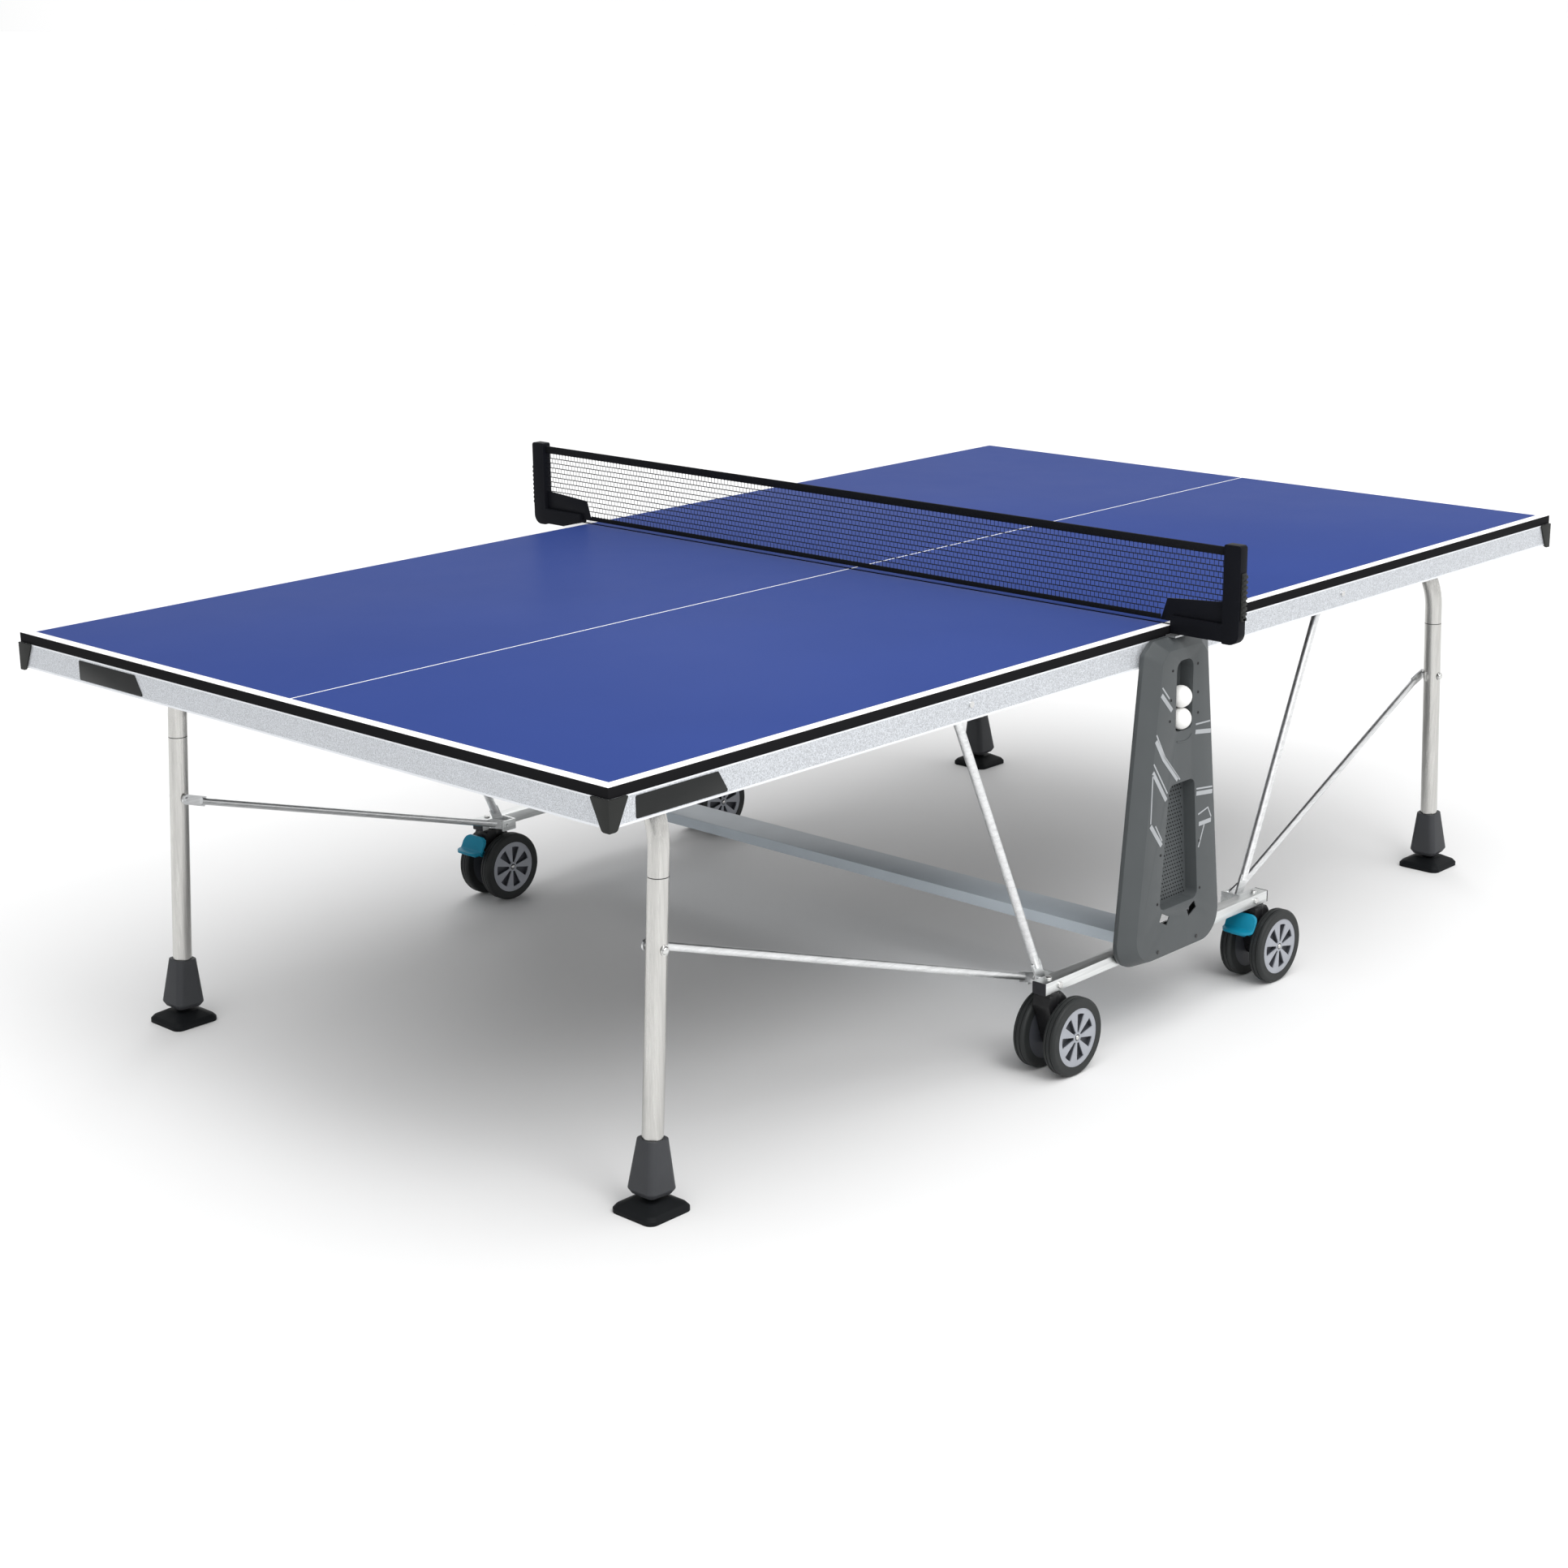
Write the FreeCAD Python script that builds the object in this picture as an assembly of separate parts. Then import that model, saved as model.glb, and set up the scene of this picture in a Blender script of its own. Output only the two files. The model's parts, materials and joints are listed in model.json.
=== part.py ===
import FreeCAD, Part
import math
import os
from FreeCAD import Vector

# A rollaway table tennis table. X runs along the table, Y across it and Z up; the origin is on the
# floor under the middle of the net. All sizes are in millimetres. Half "a" is on -X and half "b" on
# +X; the near side is -Y and the far side +Y. Each shape is drawn for +X and the far side, then
# mirrored.

# Playing surface
TABLE_LENGTH = 2740.0
TABLE_WIDTH = 1525.0
TABLE_HEIGHT = 760.0
BOARD_THICKNESS = 18.0
BOARD_GAP = 8.0

# Steel apron under the edge of each board
APRON_HEIGHT = 45.0
APRON_WALL = 2.0
APRON_FLANGE = 25.0
APRON_LIP = 12.0
APRON_SETBACK = 2.0
CAP_WIDTH = 40.0
CAP_FOOT_WIDTH = 16.0
CAP_DROP = 5.0
CAP_PROUD = 3.0
PLATE_LENGTH = 190.0
PLATE_HEIGHT = 35.0
PLATE_SLANT = 21.0
PLATE_PROUD = 1.2
SIDE_PLATE_FROM_CORNER = 53.0
END_PLATE_FROM_CORNER = 185.0

# Folding linkage
PIN_X = 60.0
PIN_BELOW_TOP = 36.5
PIN_RADIUS = 5.0
SLOT_SHIFT = 40.0
SLOT_END_ABOVE_RAIL = 65.0
STRUT_ARM = 500.0
STRUT_RADIUS = 8.0
STAY_RADIUS = 7.0
FLAT_THICKNESS = 4.0
FLAT_LENGTH = 42.0
PIVOT_BOLT_RADIUS = 4.0
STRUT_PLANE_INSET = 44.0
STAY_FOOT_GAP = 13.0
STAY_LEG_GAP = 1.5
STUB_LENGTH = 3.0
PIN_HEAD_LENGTH = 5.0
PIN_HEAD_PROUD = 3.0
BOLT_HEAD_DEPTH = 2.5
BOLT_HEAD_PROUD = 1.5
NUT_LENGTH = 6.0
NUT_PROUD = 3.0
FOOT_PIVOT_ABOVE_RAIL = -11.0
OPEN_PIVOT_GAP = 0.5

# Runner in the slot of the upright
RUNNER_WIDTH = 14.0
RUNNER_LENGTH = 34.0
RUNNER_FLANGE = 4.0
RUNNER_FLANGE_THICKNESS = 3.0

# Leg frames
LEG_TUBE_RADIUS = 17.5
LEG_TUBE_WALL = 1.5
LEG_INSET = 134.5
LEG_BEND = 135.0
LEG_FROM_END = 235.0
LEG_UNDER_BOARD = 4.5
LEG_LEAN = 3.6
LEG_JOINT_DROP = 175.0
LEG_SPIGOT = 36.0
STAY_DROP = 290.0
CLIP_FROM_LEG = 178.0
CLIP_LENGTH = 30.0
CLIP_WIDTH = 60.0
CLIP_WALL = 4.0

# Feet
SLEEVE_TOP = 122.0
SLEEVE_BOTTOM = 30.0
SLEEVE_WALL = 3.5
SLEEVE_FLARE = 9.4
SLEEVE_TOE = 9.0
SLEEVE_TOE_INSET = 6.0
SLEEVE_CORNER = 12.0
SLEEVE_FLOOR = 12.0
PAD_WIDTH = 95.0
PAD_CORNER = 15.0
PAD_RIM = 7.0
PAD_HEIGHT = 23.0
PAD_CROWN_WIDTH = 46.0
PAD_STEM_RADIUS = 6.0
PAD_STEM_LENGTH = 62.0
PAD_SHOULDER_INSET = 5.0
PAD_SHOULDER_RISE = 6.0

# Rolling base
WHEEL_UNDER_RAIL = 13.0
RAIL_HEIGHT = 22.0
RAIL_WIDTH = 28.0
RAIL_WALL = 1.5
RAIL_INSET = 3.5
RAIL_PAST_PIVOT = 37.5
BEAM_WIDTH = 84.0
BEAM_WALL = 2.0
BRACKET_REACH = 23.0
BRACKET_NOSE = 12.0
BRACKET_RISE = 11.0
PLUG_LENGTH = 40.0
PLUG_HEAD = 3.0
BEAM_BOLT_FROM_RAIL = 22.0
BOLT_HEAD_RADIUS = 6.0
BOLT_HEAD_HEIGHT = 4.0

# Upright plate and its cover panel
UPRIGHT_WALL = 4.0
UPRIGHT_GAP = 3.5
UPRIGHT_INSIDE_COVER = 5.0
UPRIGHT_FLANGE = 3.0
UPRIGHT_FOOT_RADIUS = 36.0
UPRIGHT_FOOT_HALF = 100.0
UPRIGHT_ABOVE_RAIL = 4.0
NECK_HALF_WIDTH = 25.0
FLANGE_SETBACK = 6.0
WINDOW_CLEARANCE = 7.0
WINDOW_ABOVE_RAIL = 30.0
WINDOW_BELOW_PIN = 13.0
PANEL_GAP = 1.0
PANEL_DEPTH = 29.5
PANEL_WALL = 2.5
PANEL_SIDE_DEPTH = 9.0
PANEL_TOP_GAP = 17.5
PANEL_BELOW_RAIL = 6.0
PANEL_FRONT_RISE = 7.0
PANEL_REAR_FOOT = 163.0
PANEL_REAR_SHOULDER = 96.5
PANEL_REAR_TOP = 70.0
PANEL_FRONT_FOOT = 132.0
PANEL_FRONT_SHOULDER = 68.0
PANEL_FRONT_TOP = 50.5
PANEL_SHOULDER_DROP = 20.5
PANEL_FRONT_SHOULDER_DROP = 38.5
PANEL_FRONT_DROP = 19.0
PANEL_SHOULDER_RADIUS = 12.0
PANEL_TOP_RADIUS = 8.0
PANEL_FOOT_RADIUS = 50.0
POCKET_RISE = 95.5
POCKET_BELOW_SLOT = 96.0
POCKET_TOP_HALF = 38.0
POCKET_BOTTOM_HALF = 59.0
POCKET_WALL = 2.0
POCKET_CORNER = 14.0
BALL_RADIUS = 20.0
BALL_SLOT_HALF = 25.0
BALL_SLOT_DROP = 41.5
BALL_SLOT_LENGTH = 129.0
BALL_SLOT_CORNER = 17.0
BALL_SLOT_FOOT_CORNER = 8.0
BALL_CHANNEL_WALL = 1.2
VENT_LENGTH = 26.0
VENT_HEIGHT = 16.0
VENT_X = 42.0
VENT_RISE = 77.0
VENT_TILT = 27.0
COVER_SCREW_X = 60.0
COVER_SCREW_RISE = 19.0
COVER_SCREW_RADIUS = 3.5

# Net
NET_HEIGHT = 152.5
NET_THICKNESS = 2.0
TAPE_HEIGHT = 15.0
TAPE_THICKNESS = 5.0
POST_INNER = 110.0
POST_OUTER = 145.0
POST_HALF_WIDTH = 10.0
POST_TOP_PROUD = 6.5
POST_BOTTOM_DROP = 17.0
POST_CORNER = 20.0
ARM_BOTTOM_DROP = 14.0
ARM_TOP_RISE = 17.0
ARM_GAP = 1.5
ARM_INTO_POST = 4.0
BAND_HEIGHT = 9.5
ADJUSTER_THICKNESS = 4.8
ADJUSTER_HALF_WIDTH = 7.0
ADJUSTER_RISE = 27.0
ADJUSTER_RIBS = 9
ADJUSTER_LENGTH = 84.0
WING_INNER = 24.5
WING_SLANT = 13.0
WING_RISE = 55.5
WING_INNER_RISE = 46.5
WING_FOOT = 6.0
WING_THICKNESS = 4.0

# Twin-wheel casters
WHEEL_RADIUS = 71.5
WHEEL_WIDTH = 25.0
WHEEL_SPREAD = 33.0
TYRE_DEPTH = 18.0
TYRE_SHOULDER = 6.0
TYRE_GROOVE_OFFSET = 4.0
TYRE_GROOVE_DEPTH = 1.5
HUB_RIM = 10.0
HUB_BOSS_RADIUS = 10.0
HUB_RECESS = 9.0
HUB_SPOKES = 7
SPOKE_HALF_ANGLE = 12.5
AXLE_RADIUS = 6.0
CASTER_TRAIL = 28.0
FORK_CLEARANCE = 2.5
FORK_LOW_RADIUS = 26.0
FORK_HEAD_RADIUS = 19.0
FORK_HEAD_HEIGHT = 28.0
STEM_RADIUS = 5.5
STEM_FROM_END = 27.5
LEVER_PIVOT_INSIDE_TREAD = 6.2
LEVER_PIVOT_ANGLE = 32.5
LEVER_HALF_WIDTH = 32.0
LEVER_THICKNESS = 5.0
LEVER_BARREL_RADIUS = 7.0
LEVER_LIP_REACH = 42.0
LEVER_LIP_RISE = 6.0
LEVER_BEND_REACH = 18.0
LEVER_TOP_RISE = 38.0
LEVER_TOP_REACH = -2.0
LEVER_LIP_CORNER = 22.0
LEVER_TOP_CORNER = 16.0

# Fits
RUNNING_FIT = 0.05
SLIDE_FIT = 0.3
BODY_GAP = 0.3

# Places that follow from the sizes
RAIL_BOTTOM = 2 * WHEEL_RADIUS + WHEEL_UNDER_RAIL
HUB_RADIUS = WHEEL_RADIUS - TYRE_DEPTH
FORK_HALF_WIDTH = WHEEL_SPREAD - WHEEL_WIDTH / 2 - FORK_CLEARANCE
LEVER_PIVOT_REACH = WHEEL_RADIUS - LEVER_PIVOT_INSIDE_TREAD
LEVER_PIVOT_X = CASTER_TRAIL - LEVER_PIVOT_REACH * math.cos(math.radians(LEVER_PIVOT_ANGLE))
LEVER_PIVOT_Z = WHEEL_RADIUS + LEVER_PIVOT_REACH * math.sin(math.radians(LEVER_PIVOT_ANGLE))
HALF_LENGTH = TABLE_LENGTH / 2
HALF_WIDTH = TABLE_WIDTH / 2
BOARD_BOTTOM = TABLE_HEIGHT - BOARD_THICKNESS
APRON_BOTTOM = BOARD_BOTTOM - APRON_HEIGHT
NET_END = BOARD_GAP / 2
PIN_Z = TABLE_HEIGHT - PIN_BELOW_TOP
RAIL_TOP = RAIL_BOTTOM + RAIL_HEIGHT
RAIL_MIDDLE = RAIL_BOTTOM + RAIL_HEIGHT / 2
SLOT_END_X = PIN_X + SLOT_SHIFT
SLOT_END_Z = RAIL_TOP + SLOT_END_ABOVE_RAIL
STRUT_TOP_X = PIN_X + STRUT_ARM
FOOT_PIVOT_Z = RAIL_TOP + FOOT_PIVOT_ABOVE_RAIL
RAIL_OUTER = HALF_WIDTH - RAIL_INSET
RAIL_INNER = RAIL_OUTER - RAIL_WIDTH
RAIL_CENTRE = RAIL_OUTER - RAIL_WIDTH / 2
LEG_Y = HALF_WIDTH - LEG_INSET
LEG_PIVOT_X = HALF_LENGTH - LEG_FROM_END
LEG_PIVOT_Z = BOARD_BOTTOM - LEG_UNDER_BOARD - LEG_TUBE_RADIUS
UPRIGHT_Y = HALF_WIDTH + UPRIGHT_GAP
UPRIGHT_OUTER = UPRIGHT_Y + UPRIGHT_WALL
PANEL_REAR = HALF_WIDTH + PANEL_GAP
PANEL_FRONT = PANEL_REAR + PANEL_DEPTH
PANEL_TOP = TABLE_HEIGHT - PANEL_TOP_GAP
STRUT_Y = HALF_WIDTH - STRUT_PLANE_INSET
ARM_BOTTOM = TABLE_HEIGHT - ARM_BOTTOM_DROP
ARM_START = HALF_WIDTH + ARM_GAP
PANEL_BOTTOM = RAIL_BOTTOM - PANEL_BELOW_RAIL
PANEL_FRONT_BOTTOM = PANEL_BOTTOM + PANEL_FRONT_RISE
VENT_Z = PANEL_BOTTOM + VENT_RISE
COVER_SCREW_Z = PANEL_BOTTOM + COVER_SCREW_RISE
BALL_SLOT_TOP = PANEL_TOP - BALL_SLOT_DROP
BALL_SLOT_BOTTOM = BALL_SLOT_TOP - BALL_SLOT_LENGTH
BALL_Y = PANEL_REAR + BALL_CHANNEL_WALL + BODY_GAP + BALL_RADIUS
POCKET_BOTTOM = PANEL_BOTTOM + POCKET_RISE
POCKET_TOP = BALL_SLOT_BOTTOM - POCKET_BELOW_SLOT
WINDOW_LOW_HALF = POCKET_BOTTOM_HALF + POCKET_WALL + WINDOW_CLEARANCE
WINDOW_HIGH_HALF = POCKET_TOP_HALF + POCKET_WALL + WINDOW_CLEARANCE
ADJUSTER_BOTTOM = TABLE_HEIGHT + ADJUSTER_RISE
CLIP_Y = LEG_Y - CLIP_FROM_LEG
SLEEVE_TOP_HALF = LEG_TUBE_RADIUS + SLEEVE_WALL
SLEEVE_BOTTOM_HALF = SLEEVE_TOP_HALF + SLEEVE_FLARE
STAY_FOOT_Y = STRUT_Y - FLAT_THICKNESS - STAY_FOOT_GAP
STAY_LEG_Y = LEG_Y - LEG_TUBE_RADIUS - FLAT_THICKNESS - STAY_LEG_GAP
RUNNER_FACE = UPRIGHT_OUTER + BODY_GAP + RUNNER_FLANGE_THICKNESS


def strut_foot_x():
    """X of the strut's foot: the one place from which both ends of the fold are equally far."""
    rise_folded = SLOT_END_Z + STRUT_ARM - FOOT_PIVOT_Z
    rise_open = PIN_Z - FOOT_PIVOT_Z
    spare = rise_folded ** 2 - rise_open ** 2
    span = STRUT_TOP_X - SLOT_END_X
    return (STRUT_TOP_X ** 2 - SLOT_END_X ** 2 - spare) / (2 * span)


FOOT_PIVOT_X = strut_foot_x()
RAIL_END = FOOT_PIVOT_X + RAIL_PAST_PIVOT
CASTER_X = RAIL_END + PLUG_HEAD - STEM_FROM_END


def box(x0, x1, y0, y1, z0, z1):
    """A block between two corners."""
    return Part.makeBox(x1 - x0, y1 - y0, z1 - z0, Vector(x0, y0, z0))


def rod(start, end, radius):
    """A round bar between two points."""
    along = end.sub(start)
    return Part.makeCylinder(radius, along.Length, start, along)


def cross_rod(x, z, y0, y1, radius):
    """A round bar along Y."""
    return rod(Vector(x, y0, z), Vector(x, y1, z), radius)


def fuse(shapes):
    """One solid from several that meet."""
    return shapes[0].multiFuse(shapes[1:]).removeSplitter()


def flip_x(shape):
    return shape.mirror(Vector(0, 0, 0), Vector(1, 0, 0))


def flip_y(shape):
    return shape.mirror(Vector(0, 0, 0), Vector(0, 1, 0))


def on_half(shape, half):
    """The shape drawn for +X, put on half "a" or "b"."""
    return flip_x(shape) if half == "a" else shape


def both_sides(shape):
    """The far-side shape and its near-side mirror."""
    return [shape, flip_y(shape)]


def rounded_wire(points, radii, y):
    """A closed outline in XZ at one Y, each corner an arc of its own radius."""
    edges = []
    count = len(points)
    ends = []
    for i in range(count):
        corner = Vector(points[i][0], y, points[i][1])
        before = Vector(points[i - 1][0], y, points[i - 1][1]).sub(corner).normalize()
        after_point = points[(i + 1) % count]
        after = Vector(after_point[0], y, after_point[1]).sub(corner).normalize()
        half_turn = before.getAngle(after) / 2
        reach = radii[i] / math.tan(half_turn)
        start = corner.add(Vector(before).multiply(reach))
        end = corner.add(Vector(after).multiply(reach))
        inward = before.add(after).normalize()
        middle = corner.add(inward.multiply(radii[i] / math.sin(half_turn) - radii[i]))
        ends.append((start, middle, end))
    for i in range(count):
        start, middle, end = ends[i]
        edges.append(Part.Arc(start, middle, end).toShape())
        edges.append(Part.LineSegment(end, ends[(i + 1) % count][0]).toShape())
    return Part.Wire(edges)


def mirrored_outline(right_side):
    """A closed outline from its +X half, given from the bottom up."""
    return right_side + [(-x, z) for x, z in reversed(right_side)]


def inset(points, depth):
    """The outline with every side moved inwards by one depth (points run anticlockwise)."""
    count = len(points)
    moved = []
    for i in range(count):
        x0, z0 = points[i - 1]
        x1, z1 = points[i]
        x2, z2 = points[(i + 1) % count]
        a = Vector(x1 - x0, z1 - z0, 0).normalize()
        b = Vector(x2 - x1, z2 - z1, 0).normalize()
        na = Vector(-a.y, a.x, 0)
        nb = Vector(-b.y, b.x, 0)
        share = depth / (1 + na.dot(nb))
        moved.append((x1 + share * (na.x + nb.x), z1 + share * (na.y + nb.y)))
    return moved


def slab(wire, depth):
    """The wire filled and drawn out along Y."""
    return Part.Face(wire).extrude(Vector(0, depth, 0))


def save(name, solids):
    """Writes one node."""
    shape = solids[0] if len(solids) == 1 else Part.makeCompound(solids)
    shape.exportStep(os.path.join("parts", name + ".step"))


# Top halves

def top_board():
    return box(NET_END, HALF_LENGTH, -HALF_WIDTH, HALF_WIDTH, BOARD_BOTTOM, TABLE_HEIGHT)


def apron_side():
    """C-section along the long edge, with a return at its outer end and holes for two pivots."""
    inner_face = HALF_WIDTH - APRON_WALL
    start = NET_END + APRON_SETBACK
    lip_top = APRON_BOTTOM + APRON_WALL
    flange_bottom = BOARD_BOTTOM - APRON_WALL
    web = box(start, HALF_LENGTH, inner_face, HALF_WIDTH, APRON_BOTTOM, BOARD_BOTTOM)
    flange = box(start, HALF_LENGTH, HALF_WIDTH - APRON_FLANGE, inner_face, flange_bottom, BOARD_BOTTOM)
    lip = box(start, HALF_LENGTH, HALF_WIDTH - APRON_LIP, inner_face, APRON_BOTTOM, lip_top)
    end = box(HALF_LENGTH - APRON_WALL, HALF_LENGTH, HALF_WIDTH - APRON_FLANGE, inner_face,
              APRON_BOTTOM, BOARD_BOTTOM)
    bar = fuse([web, flange, lip, end])
    bar = bar.cut(cross_rod(PIN_X, PIN_Z, inner_face - 1, HALF_WIDTH + 1, PIN_RADIUS + RUNNING_FIT))
    return bar.cut(cross_rod(STRUT_TOP_X, PIN_Z, inner_face - 1, HALF_WIDTH + 1,
                             PIVOT_BOLT_RADIUS + RUNNING_FIT))


def apron_end(web_x, towards):
    """C-section across the table; towards is +1 or -1, the way its flanges point."""
    reach = HALF_WIDTH - APRON_FLANGE

    def strip(depth, z0, z1):
        x0, x1 = sorted((web_x, web_x + towards * depth))
        return box(x0, x1, -reach, reach, z0, z1)

    web = strip(APRON_WALL, APRON_BOTTOM, BOARD_BOTTOM)
    flange = strip(APRON_FLANGE, BOARD_BOTTOM - APRON_WALL, BOARD_BOTTOM)
    lip = strip(APRON_LIP, APRON_BOTTOM, APRON_BOTTOM + APRON_WALL)
    return fuse([web, flange, lip])


def cap_face(corner, toward_x):
    """One face of a corner cap: wide at the top, narrow and rounded at the foot."""
    foot = APRON_BOTTOM - CAP_DROP
    x_in = corner - CAP_WIDTH
    x_foot = corner - CAP_FOOT_WIDTH
    points = [(x_in, BOARD_BOTTOM), (x_foot, foot), (corner, foot), (corner, BOARD_BOTTOM)]
    radii = [2.0, CAP_FOOT_WIDTH * 0.45, 0.5, 0.5]
    plate = slab(rounded_wire(points, radii, 0), CAP_PROUD)
    if toward_x:
        plate.rotate(Vector(0, 0, 0), Vector(0, 0, 1), -90)
        plate = plate.mirror(Vector(0, 0, 0), Vector(0, 1, 0))
        plate.translate(Vector(HALF_LENGTH, 0, 0))
    else:
        plate.translate(Vector(0, HALF_WIDTH, 0))
    return plate


def corner_cap():
    """Moulded corner shield over both faces of the apron's corner."""
    side = cap_face(HALF_LENGTH + CAP_PROUD, False)
    end = cap_face(HALF_WIDTH + CAP_PROUD, True)
    return fuse([side, end])


def badge_plate(along_x):
    """Plain plate with one slanted end for the apron, along the side or the end near one corner."""
    middle_z = APRON_BOTTOM + APRON_HEIGHT / 2
    low = middle_z - PLATE_HEIGHT / 2
    high = middle_z + PLATE_HEIGHT / 2
    start = HALF_LENGTH - SIDE_PLATE_FROM_CORNER if along_x else HALF_WIDTH - END_PLATE_FROM_CORNER
    points = [(start, low), (start, high), (start - PLATE_LENGTH + PLATE_SLANT, high),
              (start - PLATE_LENGTH, low)]
    plate = slab(rounded_wire(points, [3.0] * 4, 0), PLATE_PROUD)
    if along_x:
        plate.translate(Vector(0, HALF_WIDTH, 0))
        return flip_y(plate)
    plate.rotate(Vector(0, 0, 0), Vector(0, 0, 1), -90)
    plate = plate.mirror(Vector(0, 0, 0), Vector(0, 1, 0))
    plate.translate(Vector(HALF_LENGTH, 0, 0))
    return plate


def leg_clip():
    """Pillow block under the board that the leg frame's top bar turns in."""
    y0 = CLIP_Y - CLIP_LENGTH / 2
    y1 = CLIP_Y + CLIP_LENGTH / 2
    radius = LEG_TUBE_RADIUS + CLIP_WALL
    foot = box(LEG_PIVOT_X - CLIP_WIDTH / 2, LEG_PIVOT_X + CLIP_WIDTH / 2, y0, y1,
               BOARD_BOTTOM - CLIP_WALL, BOARD_BOTTOM)
    block = box(LEG_PIVOT_X - radius, LEG_PIVOT_X + radius, y0, y1, LEG_PIVOT_Z, BOARD_BOTTOM)
    ring = cross_rod(LEG_PIVOT_X, LEG_PIVOT_Z, y0, y1, radius)
    bore = cross_rod(LEG_PIVOT_X, LEG_PIVOT_Z, y0 - 1, y1 + 1, LEG_TUBE_RADIUS + RUNNING_FIT)
    return fuse([foot, block, ring]).cut(bore)


def slide_pin():
    """Pin through the apron that carries the net end of the board in the runner."""
    inner_face = HALF_WIDTH - APRON_WALL
    head = cross_rod(PIN_X, PIN_Z, inner_face - PIN_HEAD_LENGTH, inner_face, PIN_RADIUS + PIN_HEAD_PROUD)
    shank = cross_rod(PIN_X, PIN_Z, inner_face, RUNNER_FACE + 1, PIN_RADIUS)
    return fuse([head, shank])


def strut_bolt():
    """Bolt and spacer that hold the strut's upper end inside the apron."""
    head = cross_rod(STRUT_TOP_X, PIN_Z, HALF_WIDTH, HALF_WIDTH + BOLT_HEAD_DEPTH,
                     PIVOT_BOLT_RADIUS + BOLT_HEAD_PROUD)
    nut_face = STRUT_Y - FLAT_THICKNESS / 2 - BODY_GAP
    shank = cross_rod(STRUT_TOP_X, PIN_Z, nut_face, HALF_WIDTH, PIVOT_BOLT_RADIUS)
    spacer = cross_rod(STRUT_TOP_X, PIN_Z, STRUT_Y + FLAT_THICKNESS / 2 + BODY_GAP,
                       HALF_WIDTH - APRON_WALL, PIVOT_BOLT_RADIUS + NUT_PROUD)
    nut = cross_rod(STRUT_TOP_X, PIN_Z, nut_face - NUT_LENGTH, nut_face, PIVOT_BOLT_RADIUS + NUT_PROUD)
    return fuse([head, shank, spacer, nut])


# Linkage

def flat_ended_bar(start, end, y_start, y_end, radius, hole_start):
    """A round bar with flattened, rounded ends between two pivots given in XZ."""
    p = Vector(start[0], y_start, start[1])
    q = Vector(end[0], y_end, end[1])
    flat_half = radius * 1.35
    pieces = []
    for origin, other in ((p, q), (q, p)):
        reach = Vector(other.x - origin.x, 0, other.z - origin.z).normalize()
        tip = origin.add(Vector(reach).multiply(FLAT_LENGTH))
        side = Vector(-reach.z, 0, reach.x).multiply(flat_half)
        half = Vector(0, FLAT_THICKNESS / 2, 0)
        corners = [origin.add(side).sub(half), tip.add(side).sub(half), tip.sub(side).sub(half),
                   origin.sub(side).sub(half)]
        outline = Part.makePolygon(corners + corners[:1])
        pieces.append(Part.Face(outline).extrude(Vector(0, FLAT_THICKNESS, 0)))
        pieces.append(rod(origin.sub(half), origin.add(half), flat_half))
    reach = Vector(q.x - p.x, 0, q.z - p.z).normalize()
    tube_start = p.add(Vector(reach).multiply(FLAT_LENGTH * 0.75))
    tube_end = q.sub(Vector(reach).multiply(FLAT_LENGTH * 0.75))
    pieces.append(rod(tube_start, tube_end, radius))
    bar = fuse(pieces)
    pivot = p if hole_start else q
    return bar.cut(cross_rod(pivot.x, pivot.z, pivot.y - FLAT_THICKNESS, pivot.y + FLAT_THICKNESS,
                             PIVOT_BOLT_RADIUS + RUNNING_FIT))


def strut():
    """Bar from the apron to the rail; the bolt at its foot ends just short of the rail."""
    bar = flat_ended_bar((STRUT_TOP_X, PIN_Z), (FOOT_PIVOT_X, FOOT_PIVOT_Z), STRUT_Y, STRUT_Y,
                         STRUT_RADIUS, True)
    stub = cross_rod(FOOT_PIVOT_X, FOOT_PIVOT_Z, STRUT_Y - FLAT_THICKNESS / 2 - STUB_LENGTH,
                     RAIL_INNER - OPEN_PIVOT_GAP, PIVOT_BOLT_RADIUS)
    return fuse([bar, stub])


def along_leg(drop):
    """X and Z of a point on the leg's axis, a distance below the leg frame's pivot."""
    lean = math.radians(LEG_LEAN)
    return (LEG_PIVOT_X + drop * math.sin(lean), LEG_PIVOT_Z - drop * math.cos(lean))


def drop_to(height):
    """Distance along the leg from its pivot down to a height above the floor."""
    return (LEG_PIVOT_Z - height) / math.cos(math.radians(LEG_LEAN))


def leaning(shape):
    """A shape drawn straight down from the leg's pivot, leaned outwards with the leg."""
    shape.rotate(Vector(LEG_PIVOT_X, 0, LEG_PIVOT_Z), Vector(0, 1, 0), -LEG_LEAN)
    return shape


def stay():
    """Bar from the rail to the leg; the bolt at its leg end stops just short of the leg."""
    leg_point = along_leg(STAY_DROP)
    bar = flat_ended_bar((FOOT_PIVOT_X, FOOT_PIVOT_Z), leg_point, STAY_FOOT_Y, STAY_LEG_Y,
                         STAY_RADIUS, True)
    stub = cross_rod(leg_point[0], leg_point[1], STAY_LEG_Y - FLAT_THICKNESS / 2 - STUB_LENGTH,
                     LEG_Y - LEG_TUBE_RADIUS - OPEN_PIVOT_GAP, PIVOT_BOLT_RADIUS)
    return fuse([bar, stub])


def slot_angle():
    """Lean of the slot from upright, in degrees."""
    return math.degrees(math.atan2(SLOT_SHIFT, PIN_Z - SLOT_END_Z))


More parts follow.
